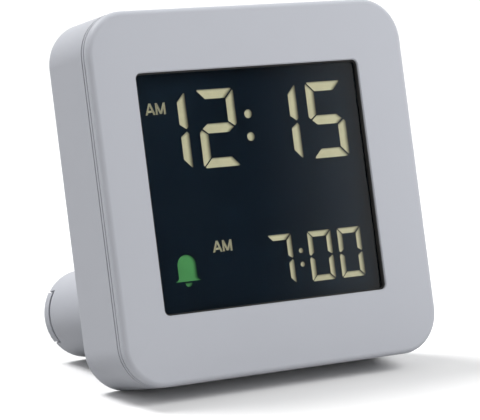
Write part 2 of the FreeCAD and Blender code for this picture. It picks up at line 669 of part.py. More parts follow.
def on_stand(depth):
    """A test for the battery box's outline at one depth."""
    def test(edge):
        box = edge.BoundBox
        if not (close(box.YMin, depth) and close(box.YMax, depth)):
            return False
        reach = number("stand_half_span + stand_radius") + 0.01
        low = number("-stand_drop - stand_radius") - 0.01
        high = number("-stand_drop + stand_radius") + 0.01
        return box.XMax < reach and box.XMin > -reach and box.ZMin > low and box.ZMax < high
    return test


def leg_pocket(drawing, sign):
    """A bow: the inside of the battery box's round end, cut off by the bay's end wall."""
    side = -1 if sign else 1
    middle = side * number("stand_half_span")
    chord = number("bay_half_length + bay_end_wall")
    height = -number("stand_drop")
    radius = number("stand_inner")
    angle = math.degrees(math.acos((chord - abs(middle)) / radius))
    if sign:
        bow = arc(drawing, middle, height, radius, 180 - angle, 180 + angle)
    else:
        bow = arc(drawing, middle, height, radius, -angle, angle)
    rise = radius * math.sin(math.radians(angle))
    ends = [point(side * chord, height + rise * side), point(side * chord, height - rise * side)]
    line = drawing.addGeometry(Part.LineSegment(ends[0], ends[1]), False)
    drawing.addConstraint(Sketcher.Constraint("Coincident", bow, 2, line, 1))
    drawing.addConstraint(Sketcher.Constraint("Coincident", line, 2, bow, 1))
    drawing.addConstraint(Sketcher.Constraint("Vertical", line))
    bind_radius(drawing, bow, "stand_inner")
    bind(drawing, "DistanceX", bow, 3, sign + "stand_half_span")
    bind(drawing, "DistanceY", bow, 3, "-stand_drop")
    bind(drawing, "DistanceX", line, 1, sign + "(bay_half_length + bay_end_wall)")


def sector(drawing, sign, outer, half_angle):
    """A slice of ring at one end of the battery box: two arcs joined by two radial lines."""
    turn = 180 if sign else 0
    middle = point(number(sign + "stand_half_span"), number("-stand_drop"))
    inner = "stand_radius - tab_root"
    half = number(half_angle)
    far = arc(drawing, middle.x, middle.y, number(outer), turn - half, turn + half)
    near = arc(drawing, middle.x, middle.y, number(inner), turn - half, turn + half)

    def spot(radius, degrees):
        angle = math.radians(turn + degrees)
        return middle + Vector(math.cos(angle), math.sin(angle), 0) * number(radius)

    last = drawing.addGeometry(Part.LineSegment(spot(outer, half), spot(inner, half)), False)
    first = drawing.addGeometry(Part.LineSegment(spot(inner, -half), spot(outer, -half)), False)
    for item, end, other, start in ((far, 2, last, 1), (last, 2, near, 2), (near, 1, first, 1),
                                    (first, 2, far, 1), (far, 3, near, 3)):
        drawing.addConstraint(Sketcher.Constraint("Coincident", item, end, other, start))
    bind(drawing, "DistanceX", far, 3, sign + "stand_half_span")
    bind(drawing, "DistanceY", far, 3, "-stand_drop")
    for item, radius in ((far, outer), (near, inner)):
        bind_radius(drawing, item, radius)
        for end, way in ((1, "-"), (2, "+")):
            rise = "(%s) * sin(%d + %s)" % (radius, turn, way + "(" + half_angle + ")")
            bind(drawing, "DistanceY", item, end, "-stand_drop + " + rise)


def tail_bottom(contact):
    """Lowest place of a contact's solder tail."""
    if contact == "positive":
        return "-stand_drop + contact_offset + contact_width / 2 - tail_width"
    return "-stand_drop - contact_offset - contact_width / 2"


# Battery door: a lid let into the open end, with an end tab and a leg at each side
def battery_door():
    body = new_body("battery_door")
    lid = sketch(body, "DoorLid", "face", "door_front")
    slot(lid, "-stand_half_span", "stand_half_span", "-stand_drop", "stand_inner - door_gap")
    pad(lid, "back", "door_thickness")
    for side, sign in (("Left", "-"), ("Right", "")):
        tab = sketch(body, "DoorTab" + side, "face", "door_front")
        sector(tab, sign, "stand_radius", "tab_half_angle - tab_side_gap / stand_radius * 180 / pi")
        pad(tab, "back", "door_thickness")
        leg = sketch(body, "DoorLeg" + side, "face", "door_front")
        rectangle(leg, sign + "(leg_outside - leg_thickness)", sign + "leg_outside",
                  "-stand_drop - leg_width / 2", "-stand_drop + leg_width / 2")
        pad(leg, "front", "leg_length")
    grips = sketch(body, "DoorGrips", "face", "stand_end")
    for step in range(GRIP_LINES):
        middle = "grip_shift + %g * grip_spacing" % (step - (GRIP_LINES - 1) / 2)
        rectangle(grips, middle + " - grip_width / 2", middle + " + grip_width / 2",
                  "-stand_drop - grip_length / 2", "-stand_drop + grip_length / 2")
    pocket(grips, "front", "grip_depth")
    return body


# Display stack: window, liquid crystal glass, light guide and the holder around them
def display_window():
    body = new_body("display_window")
    plate = sketch(body, "WindowPlate", "face", "window_recess")
    window_outline(plate, "window_overlap", "window_corner + window_overlap")
    pad(plate, "back", "window_thickness")
    return body


def lcd_panel():
    body = new_body("lcd_panel")
    front = sketch(body, "FrontGlass", "face", "display_front")
    rectangle(front, "display_left", "display_right", "display_bottom", "display_top")
    pad(front, "back", "front_glass")
    rear = sketch(body, "RearGlass", "face", "display_step")
    rectangle(rear, "display_left", "display_right", "display_bottom + contact_ledge",
              "display_top")
    pad(rear, "back", "rear_glass")
    return body


def light_guide():
    body = new_body("light_guide")
    plate = sketch(body, "GuidePlate", "face", "guide_front")
    rectangle(plate, "guide_left", "guide_right", "guide_bottom", "guide_top")
    pad(plate, "back", "guide_thickness")
    return body


def lcd_holder():
    body = new_body("lcd_holder")
    frame = sketch(body, "HolderFrame", "face", "plate_thickness")
    around = "(seat_gap + holder_wall)"
    rectangle(frame, "display_left - " + around, "display_right + " + around,
              "display_bottom - " + around, "display_top + " + around)
    pad(frame, "back", "board_front - plate_thickness")
    glass = sketch(body, "GlassPocket", "face", "plate_thickness")
    rectangle(glass, "display_left - seat_gap", "display_right + seat_gap",
              "display_bottom - seat_gap", "display_top + seat_gap")
    pocket(glass, "back", "display_back - plate_thickness")
    guide = sketch(body, "GuidePocket", "face", "display_back")
    rectangle(guide, "guide_left - seat_gap", "guide_right + seat_gap",
              "guide_bottom - seat_gap", "guide_top + seat_gap")
    pocket(guide, "back", "guide_back - display_back")
    openings = sketch(body, "StripSlot", "face", "display_back")
    rectangle(openings, "strip_left - seat_gap", "strip_right + seat_gap",
              "strip_bottom - seat_gap", "strip_bottom + strip_thickness + seat_gap")
    pocket(openings, "back", "board_front - display_back")
    lamps = sketch(body, "LampNotches", "face", "board_front - led_height - seat_gap")
    for sign in ("", "-"):
        middle = sign + "led_spread"
        rectangle(lamps, "guide_right", "guide_right + led_width + 2 * seat_gap",
                  middle + " - led_length / 2 - seat_gap",
                  middle + " + led_length / 2 + seat_gap")
    pocket(lamps, "back", "led_height + seat_gap")
    return body


def zebra_strip():
    body = new_body("zebra_strip")
    strip = sketch(body, "ContactStrip", "face", "display_step")
    rectangle(strip, "strip_left", "strip_right", "strip_bottom",
              "strip_bottom + strip_thickness")
    pad(strip, "back", "board_front - display_step")
    return body


# Circuit board and what is soldered to it
def main_board():
    body = new_body("main_board")
    outline = sketch(body, "BoardOutline", "face", "board_front")
    inner_right, inner_top = "board_right - board_notch", "board_top - board_notch"
    corners = []
    quarter = [("board_right", inner_top), (inner_right, inner_top), (inner_right, "board_top")]
    for sign_x, sign_z, order in (("", "", 1), ("-", "", -1), ("-", "-", 1), ("", "-", -1)):
        corners += [(sign_x + "(" + x + ")", sign_z + "(" + z + ")") for x, z in quarter[::order]]
    polygon(outline, corners)
    pad(outline, "back", "board_thickness")
    holes = sketch(body, "BoardHoles", "face", "board_front")
    for x, z in four_corners("post_spread_x", "post_z"):
        circle(holes, x, z, "board_hole_radius")
    pocket(holes, "back", "board_thickness")
    slots = sketch(body, "BoardTailSlots", "face", "board_front")
    for low in (tail_bottom("positive"), tail_bottom("negative")):
        rectangle(slots, "-bay_half_length - seat_gap",
                  "-bay_half_length + contact_sheet + seat_gap",
                  low + " - seat_gap", low + " + tail_width + seat_gap")
    pocket(slots, "back", "board_thickness")
    return body


def solid_box(name, low, high):
    """A plain block between two opposite corners, each given by three sizes."""
    block = doc.addObject("Part::Box", name)
    for side, first, second in zip(("Length", "Width", "Height"), low, high):
        block.setExpression(side, formula("(" + second + ") - (" + first + ")"))
    for axis, first in zip("xyz", low):
        block.setExpression("Placement.Base." + axis, formula(first))
    return block


ROTATIONS = {
    "back": Rotation(Vector(1, 0, 0), -90),
    "right": Rotation(Vector(0, 1, 0), 90),
    "left": Rotation(Vector(0, 1, 0), -90),
    "up": Rotation(),
}


def solid_round(name, start, direction, radius, length):
    """A plain round bar from a place towards one side."""
    bar = doc.addObject("Part::Cylinder", name)
    bar.Placement = Placement(Vector(), ROTATIONS[direction])
    for axis, text in zip("xyz", start):
        bar.setExpression("Placement.Base." + axis, formula(text))
    bar.setExpression("Radius", formula(radius))
    bar.setExpression("Height", formula(length))
    return bar


def cut(name, base, tool):
    result = doc.addObject("Part::Cut", name)
    result.Base = base
    result.Tool = tool
    result.Label = name
    return result


def fuse(name, pieces):
    result = doc.addObject("Part::MultiFuse", name)
    result.Shapes = pieces
    result.Label = name
    return result


def group(name, pieces):
    """Several loose pieces of one kind, kept as separate solids."""
    result = doc.addObject("Part::Compound", name)
    result.Links = pieces
    result.Label = name
    return result


def backlight_leds():
    lamps = []
    for name, sign in (("LampUpper", ""), ("LampLower", "-")):
        middle = sign + "led_spread"
        lamps.append(solid_box(
            name,
            ("guide_right + seat_gap", "board_front - led_height", middle + " - led_length / 2"),
            ("guide_right + seat_gap + led_width", "board_front", middle + " + led_length / 2")))
    return group("backlight_leds", lamps)


def chip_dome():
    dome = doc.addObject("Part::Cone", "DomeCone")
    dome.Placement = Placement(Vector(), ROTATIONS["back"])
    for axis, text in zip("xyz", ("0", "board_back", "-chip_drop")):
        dome.setExpression("Placement.Base." + axis, formula(text))
    dome.setExpression("Radius1", formula("chip_radius"))
    dome.setExpression("Radius2", formula("chip_radius - chip_slope"))
    dome.setExpression("Height", formula("chip_height"))
    return group("chip_dome", [dome])


def crystal_can():
    start = ("-crystal_length / 2", "board_back + crystal_radius", "crystal_z")
    bar = solid_round("CrystalBar", start, "right", "crystal_radius", "crystal_length")
    return group("crystal_can", [bar])


def sounder():
    start = ("sound_x", "board_back", "sound_z")
    can = solid_round("SounderCan", start, "back", "sounder_radius", "sounder_height")
    mouth_start = ("sound_x", "board_back + sounder_height / 2", "sound_z")
    mouth = solid_round("SounderMouth", mouth_start, "back", "sounder_mouth_radius",
                        "sounder_height")
    return cut("sounder", can, mouth)


# Setting keys in the back wall, each on the plunger of a push switch
def setting_key(name, place):
    body = new_body(name + "_key")
    x = "%g * key_spacing" % place
    flange = sketch(body, name.title() + "Flange", "face", "key_flange_front")
    reach = "(key_radius + key_gap + flange_lap)"
    rectangle(flange, x + " - " + reach, x + " + " + reach, "key_height - " + reach,
              "key_height + " + reach)
    pad(flange, "back", "flange_thickness")
    cap = sketch(body, name.title() + "Cap", "face", "key_flange_front")
    circle(cap, x, "key_height", "key_radius")
    pad(cap, "back", "slab_depth + key_proud - key_flange_front")
    chamfer(body, name.title() + "Bevel", edge_at("y", number("slab_depth + key_proud")),
            "key_edge_bevel")
    return body


def key_plunger(name, place):
    x = "%g * key_spacing" % place
    bar = solid_box(name.title() + "PlungerBar",
                    (x + " - plunger_width / 2", "board_back + switch_height - plunger_depth",
                     "key_height - plunger_width / 2"),
                    (x + " + plunger_width / 2", "key_flange_front",
                     "key_height + plunger_width / 2"))
    return group(name + "_plunger", [bar])


def key_switches():
    switches = []
    for name, place in KEYS:
        x = "%g * key_spacing" % place
        block = solid_box(
            name.title() + "SwitchBlock",
            (x + " - switch_width / 2", "board_back", "key_height - switch_width / 2"),
            (x + " + switch_width / 2", "board_back + switch_height",
             "key_height + switch_width / 2"))
        half = "(plunger_width / 2 + plunger_gap)"
        bottom = "board_back + switch_height - plunger_depth - key_travel - plunger_spare"
        shaft = solid_box(
            name.title() + "SwitchShaft",
            (x + " - " + half, bottom, "key_height - " + half),
            (x + " + " + half, "board_back + switch_height + plunger_spare",
             "key_height + " + half))
        switches.append(cut(name.title() + "Switch", block, shaft))
    return group("key_switches", switches)


# Snooze bar in the top of the case, on a switch at the upper edge of the board
def snooze_bar():
    body = new_body("snooze_bar")
    flange = sketch(body, "BarFlange", "top", "bar_flange_bottom")
    margin = "(bar_radius + bar_gap + flange_lap)"
    rectangle(flange, "-bar_half_span - " + margin, "bar_half_span + " + margin,
              "bar_middle - " + margin, "bar_middle + " + margin)
    pad(flange, "up", "flange_thickness")
    cap = sketch(body, "BarCap", "top", "bar_flange_bottom")
    slot(cap, "-bar_half_span", "bar_half_span", "bar_middle", "bar_radius")
    pad(cap, "up", "face_height / 2 + bar_proud - bar_flange_bottom")
    chamfer(body, "BarBevel", edge_at("z", number("face_height / 2 + bar_proud")),
            "bar_edge_bevel")
    rib = sketch(body, "BarRib", "top", "bar_flange_bottom")
    middle = "board_back + snooze_switch_depth / 2"
    rectangle(rib, "-rib_width / 2", "rib_width / 2", middle + " - rib_thickness / 2",
              middle + " + rib_thickness / 2")
    pad(rib, "down", "rib_length")
    return body


def snooze_parts():
    top = "rib_bottom - bar_travel - plunger_spare"
    middle = "board_back + snooze_switch_depth / 2"
    block = solid_box("SnoozeBlock",
                      ("-switch_width / 2", "board_back", top + " - snooze_switch_height"),
                      ("switch_width / 2", "board_back + snooze_switch_depth", top))
    half = "(plunger_width / 2 + plunger_gap)"
    shaft = solid_box("SnoozeShaft",
                      ("-" + half, middle + " - " + half,
                       top + " - snooze_plunger_depth - bar_travel - plunger_spare"),
                      (half, middle + " + " + half, top + " + plunger_spare"))
    switch = cut("snooze_switch", block, shaft)
    bar = solid_box("SnoozePlungerBar",
                    ("-plunger_width / 2", middle + " - plunger_width / 2",
                     top + " - snooze_plunger_depth"),
                    ("plunger_width / 2", middle + " + plunger_width / 2", "rib_bottom"))
    return [switch, group("snooze_plunger", [bar])]


# Alarm slider in the back wall, its lever and its switch
def alarm_slider():
    body = new_body("alarm_slider")
    apron = sketch(body, "SliderApron", "face", "key_flange_front")
    reach = "slider_length / 2 + slider_travel + 2 * slider_gap + flange_lap"
    rise = "slider_height / 2 + slider_gap + flange_lap"
    rectangle(apron, "slider_rest - (" + reach + ")", "slider_rest + " + reach,
              "slider_z - (" + rise + ")", "slider_z + " + rise)
    pad(apron, "back", "flange_thickness")
    knob = sketch(body, "SliderKnob", "face", "key_flange_front")
    rectangle(knob, "slider_rest - slider_length / 2", "slider_rest + slider_length / 2",
              "slider_z - slider_height / 2", "slider_z + slider_height / 2")
    pad(knob, "back", "slab_depth + slider_proud - key_flange_front")
    grooves = sketch(body, "SliderGrooves", "face", "slab_depth + slider_proud")
    for step in (-1, 0, 1):
        middle = "slider_rest + %g * slider_length / 4" % step
        rectangle(grooves, middle + " - slider_groove / 2", middle + " + slider_groove / 2",
                  "slider_z - slider_height", "slider_z + slider_height")
    pocket(grooves, "front", "slider_groove")
    socket = sketch(body, "SliderSocket", "face", "key_flange_front")
    half = "lever_width / 2 + lever_gap"
    rectangle(socket, "slider_rest - (" + half + ")", "slider_rest + " + half,
              "slider_z - (" + half + ")", "slider_z + " + half)
    pocket(socket, "back", "lever_bite + lever_gap")
    return body


def slide_switch_parts():
    block = solid_box(
        "SlideBlock",
        ("slider_x - slide_body_length / 2", "board_back", "slider_z - slide_body_width / 2"),
        ("slider_x + slide_body_length / 2", "board_back + slide_body_height",
         "slider_z + slide_body_width / 2"))
    half = "(lever_width / 2 + lever_gap)"
    bottom = "board_back + slide_body_height - lever_depth"
    track = solid_box(
        "SlideTrack",
        ("slider_rest - " + half, bottom + " - lever_gap", "slider_z - " + half),
        ("slider_rest + slider_travel + " + half, "board_back + slide_body_height + lever_gap",
         "slider_z + " + half))
    switch = cut("alarm_switch", block, track)
    lever = solid_box(
        "LeverBlock",
        ("slider_rest - lever_width / 2", bottom, "slider_z - lever_width / 2"),
        ("slider_rest + lever_width / 2", "key_flange_front + lever_bite",
         "slider_z + lever_width / 2"))
    return [switch, group("alarm_switch_lever", [lever])]


# Cells and their contacts: the front cell points left, the rear cell points right
def cell(name, depth, direction):
    sign = "-" if direction == "left" else ""
    back_end = "" if direction == "left" else "-"
    can_length = "cell_length - cell_button_height"
    can = solid_round(name.title() + "CellCan", (back_end + "cell_length / 2", depth,
                                                 "-stand_drop"),
                      direction, "cell_radius", can_length)
    button_start = sign + "(cell_length / 2 - cell_button_height)"
    button = solid_round(name.title() + "CellButton", (button_start, depth, "-stand_drop"),
                         direction, "cell_button_radius", "cell_button_height")
    return fuse("battery_" + name, [can, button])


def contact_plate(body, name, sign, low, high, front, back):
    """Sheet metal that lies on the bay's end wall."""
    start = "-bay_half_length" if sign else "bay_half_length - contact_sheet"
    plate = sketch(body, name, "side", start)
    rectangle(plate, front, back, low, high)
    pad(plate, "right", "contact_sheet")


def contact_dimple(body, name, sign, depth):
    """Pressed dimple that touches a cell's button."""
    reach = "bay_half_length - contact_sheet"
    start = "-(" + reach + ")" if sign else reach
    disc = sketch(body, name, "side", start)
    circle(disc, depth, "-stand_drop", "dimple_radius")
    pad(disc, "right" if sign else "left", reach + " - cell_length / 2")


def contact_leaf(body, name, sign, depth):
    """Bent leaf that presses on a cell's flat end."""
    leaf = sketch(body, name, "top", "-stand_drop - contact_width / 4")
    wall = sign + "(bay_half_length - contact_sheet)"
    tip = sign + "cell_length / 2"
    hollow = sign + "(cell_length / 2 + contact_sheet)"
    polygon(leaf, [
        (wall, depth + " - leaf_half_length"),
        (tip, depth),
        (wall, depth + " + leaf_half_length"),
        (wall, depth + " + leaf_half_length - 2 * contact_sheet"),
        (hollow, depth),
        (wall, depth + " - leaf_half_length + 2 * contact_sheet"),
    ])
    pad(leaf, "up", "contact_width / 2")


def terminal(name, depth, offset):
    """A contact on the left end wall with a solder tail to the board."""
    body = new_body(name + "_contact")
    label = name.title()
    middle = "-stand_drop " + offset + " contact_offset"
    contact_plate(body, label + "Plate", "-", middle + " - contact_width / 2",
                  middle + " + contact_width / 2", depth + " - contact_length / 2",
                  depth + " + contact_length / 2")
    low = tail_bottom(name)
    contact_plate(body, label + "Tail", "-", low, low + " + tail_width",
                  "board_back - tail_depth", depth)
    if name == "positive":
        contact_dimple(body, label + "Dimple", "-", depth)
    else:
        contact_leaf(body, label + "Leaf", "-", depth)
    return body


def link_contact():
    body = new_body("link_contact")
    contact_plate(body, "LinkPlate", "", "-stand_drop - contact_width / 2",
                  "-stand_drop + contact_width / 2", "front_cell - contact_length / 2",
                  "rear_cell + contact_length / 2")
    contact_dimple(body, "LinkDimple", "", "rear_cell")
    contact_leaf(body, "LinkLeaf", "", "front_cell")
    return body


# Screws: a head and a shank each
def screws(name, places, seat, head_radius, head_height, shank_radius, length):
    made = []
    for i, (x, z) in enumerate(places, start=1):
        label = name.title().replace("_", "") + str(i)
        head = solid_round(label + "Head", (x, seat, z), "back", head_radius, head_height)
        shank = solid_round(label + "Shank", (x, seat + " - " + length, z), "back",
                            shank_radius, length)
        made.append(fuse(label, [head, shank]))
    return group(name, made)


# Rubber foot: a wedge that is level with the floor under the battery box
def stand_foot():
    body = new_body("stand_foot")
    wedge = sketch(body, "FootWedge", "side", "-foot_length / 2")
    back, front = "stand_end - foot_inset", "stand_end - foot_inset - foot_width"
    top = "-stand_drop - stand_radius + foot_recess"
    polygon(wedge, [(front, top), (front, floor_at(front)), (back, floor_at(back)), (back, top)])
    pad(wedge, "right", "foot_length")
    return body


def floor_at(depth):
    """Height of the floor at a depth behind the face, before the clock leans back."""
    return "((%s) * sin(lean_angle) - face_to_floor) / cos(lean_angle)" % depth


def stance():
    """Lean back, lift onto the floor and centre the box front to back."""
    lean = math.radians(number("lean_angle"))
    edge_round = number("edge_round")
    front = (edge_round * math.cos(lean) - edge_round
             - (number("face_height / 2") - edge_round) * math.sin(lean))
    rim_top = number("-stand_drop + stand_radius - stand_rim_bevel")
    back = number("stand_end") * math.cos(lean) + rim_top * math.sin(lean)
    return Placement(Vector(0, -(front + back) / 2, number("face_to_floor")),
                     Rotation(Vector(1, 0, 0), -number("lean_angle")))


def build():
    nodes = [front_bezel(), rear_case(), display_window(), lcd_panel(), light_guide(),
             lcd_holder(), zebra_strip(), main_board(), backlight_leds(), chip_dome(),
             crystal_can(), sounder(), snooze_bar()]
    nodes += snooze_parts()
    nodes.append(key_switches())
    for name, place in KEYS:
        nodes += [setting_key(name, place), key_plunger(name, place)]
    nodes.append(alarm_slider())
    nodes += slide_switch_parts()
    nodes += [battery_door(), cell("front", "front_cell", "left"),
              cell("rear", "rear_cell", "right"), terminal("positive", "front_cell", "+"),
              terminal("negative", "rear_cell", "-"), link_contact(), stand_foot()]
    nodes.append(screws("case_screws", four_corners("screw_x", "screw_z"),
                        "head_seat", "case_head_radius", "case_head_height",
                        "case_shank_radius", "case_screw_length"))
    nodes.append(screws("board_screws", four_corners("post_spread_x", "post_z"),
                        "board_back", "board_head_radius", "board_head_height",
                        "board_shank_radius", "board_screw_length"))
    place = stance()
    for node in nodes:
        node.Placement = place
    doc.recompute()
    return nodes


def check(nodes):
    """Stop if anything failed, is not a sound solid, or cut nothing away."""
    for item in doc.Objects:
        if "Invalid" in item.State or "Error" in item.State:
            raise RuntimeError("%s is %s" % (item.Name, item.State))
        if item.isDerivedFrom("PartDesign::Pocket"):
            removed = item.BaseFeature.Shape.Volume - item.Shape.Volume
            if removed < 1e-3:
                raise RuntimeError(item.Name + " cuts nothing")
    for node in nodes:
        if node.Shape.isNull() or not node.Shape.isValid() or not node.Shape.Solids:
            raise RuntimeError(node.Label + " is not a sound solid")


nodes = build()
check(nodes)
os.makedirs("parts", exist_ok=True)
for node in nodes:
    node.Shape.exportStep("parts/%s.step" % node.Label)
    print("%-20s %d solids, %.1f mm3" % (node.Label, len(node.Shape.Solids), node.Shape.Volume))
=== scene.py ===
import json
import math

import bpy
import numpy as np
from mathutils import Matrix, Vector


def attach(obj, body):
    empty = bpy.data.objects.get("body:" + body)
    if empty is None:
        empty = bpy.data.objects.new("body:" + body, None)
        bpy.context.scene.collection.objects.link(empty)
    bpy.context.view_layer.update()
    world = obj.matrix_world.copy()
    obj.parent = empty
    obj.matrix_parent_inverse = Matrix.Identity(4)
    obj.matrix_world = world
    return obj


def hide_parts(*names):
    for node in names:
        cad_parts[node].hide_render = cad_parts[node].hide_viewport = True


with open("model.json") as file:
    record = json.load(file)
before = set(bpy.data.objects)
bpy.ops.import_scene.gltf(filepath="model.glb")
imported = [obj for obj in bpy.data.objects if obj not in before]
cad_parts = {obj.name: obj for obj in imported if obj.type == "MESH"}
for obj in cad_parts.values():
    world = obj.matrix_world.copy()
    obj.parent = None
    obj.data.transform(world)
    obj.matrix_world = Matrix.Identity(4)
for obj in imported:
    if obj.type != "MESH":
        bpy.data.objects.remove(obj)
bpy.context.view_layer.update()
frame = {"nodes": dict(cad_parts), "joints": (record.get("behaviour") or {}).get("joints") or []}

# Small digital alarm clock that leans back on its battery box.
# Pieces are worked out in millimetres from the middle of the face:
# x to the right, y straight back into the case, z up along the face.

mm = 0.001  # in metres


def joint(name):
    return next(each for each in frame["joints"] if each["name"] == name)


# the battery door slides straight back from the face, so its joint gives the lean
backAxis = np.array(joint("battery_door_slide")["axis"], dtype=float)
rightAxis = np.array([1.0, 0.0, 0.0])
upAxis = np.cross(rightAxis, backAxis)
leanAxes = np.array([rightAxis, backAxis, upAxis])


def leanedExtent(name):
    # lowest and highest corner of a node along the leaning axes, in metres
    mesh = frame["nodes"][name].data
    points = np.empty(len(mesh.vertices) * 3)
    mesh.vertices.foreach_get("co", points)
    along = points.reshape(-1, 3) @ leanAxes.T
    return along.min(axis=0), along.max(axis=0)


bezelLow, bezelHigh = leanedExtent("front_bezel")
faceCentre = np.array([(bezelLow[0] + bezelHigh[0]) / 2, bezelLow[1], (bezelLow[2] + bezelHigh[2]) / 2])


def place(points):
    # millimetres from the middle of the face into metres in the frame
    return (faceCentre + np.asarray(points) * mm) @ leanAxes


def extent(name):
    # a node's corners in millimetres from the middle of the face
    low, high = leanedExtent(name)
    return (low - faceCentre) / mm, (high - faceCentre) / mm


# Meshes

def newPiece(name, points, faces, material, body="clock_body", smooth=False, shade=None):
    # a mesh from points in millimetres; shade is how dark the painted shadow makes the display's edges at
    # each point
    mesh = bpy.data.meshes.new(name)
    mesh.from_pydata(place(points).tolist(), [], faces)
    if shade is not None:
        mesh.attributes.new("shade", "FLOAT", "POINT").data.foreach_set("value", shade)
    mesh.polygons.foreach_set("use_smooth", np.full(len(mesh.polygons), smooth))
    mesh.materials.append(material)
    mesh.validate()
    piece = bpy.data.objects.new(name, mesh)
    bpy.context.scene.collection.objects.link(piece)
    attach(piece, body)
    return piece


def splitEdges(piece, angle):
    # smooth shading, with edges sharper than the angle kept sharp
    split = piece.modifiers.new("split", "EDGE_SPLIT")
    split.split_angle = math.radians(angle)


def gridFaces(rows, columns, start=0, flip=False, closed=False, ring=False):
    # quads between neighbouring points of a rows by columns grid; closed joins the last column
    # to the first, and ring the last row to the first
    row, column = np.meshgrid(np.arange(rows if ring else rows - 1),
                              np.arange(columns if closed else columns - 1), indexing="ij")
    nextRow, nextColumn = (row + 1) % rows, (column + 1) % columns
    corners = [row * columns + column, row * columns + nextColumn,
               nextRow * columns + nextColumn, nextRow * columns + column]
    quads = np.stack(corners, axis=-1).reshape(-1, 4) + start
    return (quads[:, ::-1] if flip else quads).tolist()


def gridRim(rows, columns):
    # the points on the border of a grid, once round
    index = np.arange(rows * columns).reshape(rows, columns)
    return np.concatenate([index[0, :-1], index[:-1, -1], index[-1, :0:-1], index[:0:-1, 0]])


def slab(x, z, front, thickness):
    # plate whose outline is a ruled grid: x and z are rows by columns, front is its depth
    rows, columns = x.shape
    count = rows * columns
    face = np.stack([x, np.full_like(x, front), z], axis=-1).reshape(-1, 3)
    points = np.concatenate([face, face + [0, thickness, 0]])
    faces = gridFaces(rows, columns) + gridFaces(rows, columns, count, flip=True)
    rim = gridRim(rows, columns)
    after = np.roll(rim, -1)
    faces += np.stack([after, rim, rim + count, after + count], axis=-1).tolist()
    return points, faces


def joined(shapes):
    # several point and face lists as one
    points, faces, start = [], [], 0
    for shapePoints, shapeFaces in shapes:
        points.append(shapePoints)
        faces += [[i + start for i in face] for face in shapeFaces]
        start += len(shapePoints)
    return np.concatenate(points), faces


# Shader groups

class Wires:
    # short form for placing and joining shader nodes
    def __init__(self, tree):
        self.tree = tree

    def node(self, kind, **settings):
        made = self.tree.nodes.new("ShaderNode" + kind)
        for name, value in settings.items():
            setattr(made, name, value)
        return made

    def link(self, source, target):
        self.tree.links.new(source, target)

    def put(self, value, target):
        # a socket is linked, anything else is set as the target's own value
        if isinstance(value, bpy.types.NodeSocket):
            self.link(value, target)
        else:
            target.default_value = value

    def group(self, group, values):
        made = self.tree.nodes.new("ShaderNodeGroup")
        made.node_tree = group
        for name, value in values.items():
            self.put(value, made.inputs[name])
        return made.outputs

    def math(self, operation, *values, clamp=False):
        made = self.node("Math", operation=operation, use_clamp=clamp)
        for value, target in zip(values, made.inputs):
            self.put(value, target)
        return made.outputs[0]

    def mix(self, factor, first, second):
        # the two colours of a Mix node are its sockets 6 and 7
        made = self.node("Mix", data_type="RGBA")
        for value, index in ((factor, 0), (first, 6), (second, 7)):
            self.put(value, made.inputs[index])
        return made.outputs[2]

    def noise(self, vector, scale, detail=3.0, roughness=0.55):
        made = self.node("TexNoise")
        self.link(vector, made.inputs["Vector"])
        self.put(scale, made.inputs["Scale"])
        made.inputs["Detail"].default_value = detail
        made.inputs["Roughness"].default_value = roughness
        return made.outputs["Fac"]

    def span(self, value, low, high, newLow=0.0, newHigh=1.0):
        # smooth step between two new values as a value goes from low to high
        made = self.node("MapRange", interpolation_type="SMOOTHSTEP")
        for source, target in zip((value, low, high, newLow, newHigh), made.inputs):
            self.put(source, target)
        return made.outputs[0]

    def along(self, vector, direction):
        # how far a vector reaches in a direction
        made = self.node("VectorMath", operation="DOT_PRODUCT")
        self.put(vector, made.inputs[0])
        self.put(direction, made.inputs[1])
        return made.outputs["Value"]


def newGroup(name, inputs, outputs):
    # a shader group with its named sockets; an input also has its plain value
    group = bpy.data.node_groups.new(name, "ShaderNodeTree")
    for label, kind, value in inputs:
        made = group.interface.new_socket(name=label, in_out="INPUT", socket_type="NodeSocket" + kind)
        if value is not None:
            made.default_value = value
    for label, kind in outputs:
        group.interface.new_socket(name=label, in_out="OUTPUT", socket_type="NodeSocket" + kind)
    start = group.nodes.new("NodeGroupInput").outputs
    end = group.nodes.new("NodeGroupOutput").inputs
    return group, Wires(group), start, end


midGrey = (0.5, 0.5, 0.5, 1.0)

grainLook = {
    "bumpStrength": 0.6,
    "cloudScale": 45.0,       # wide clouds in the colour
    "specks": 0.6,            # fine specks in the colour, as a share of the clouds
    "smearScale": 160.0,      # smears in the gloss
    "smears": 0.14,
}


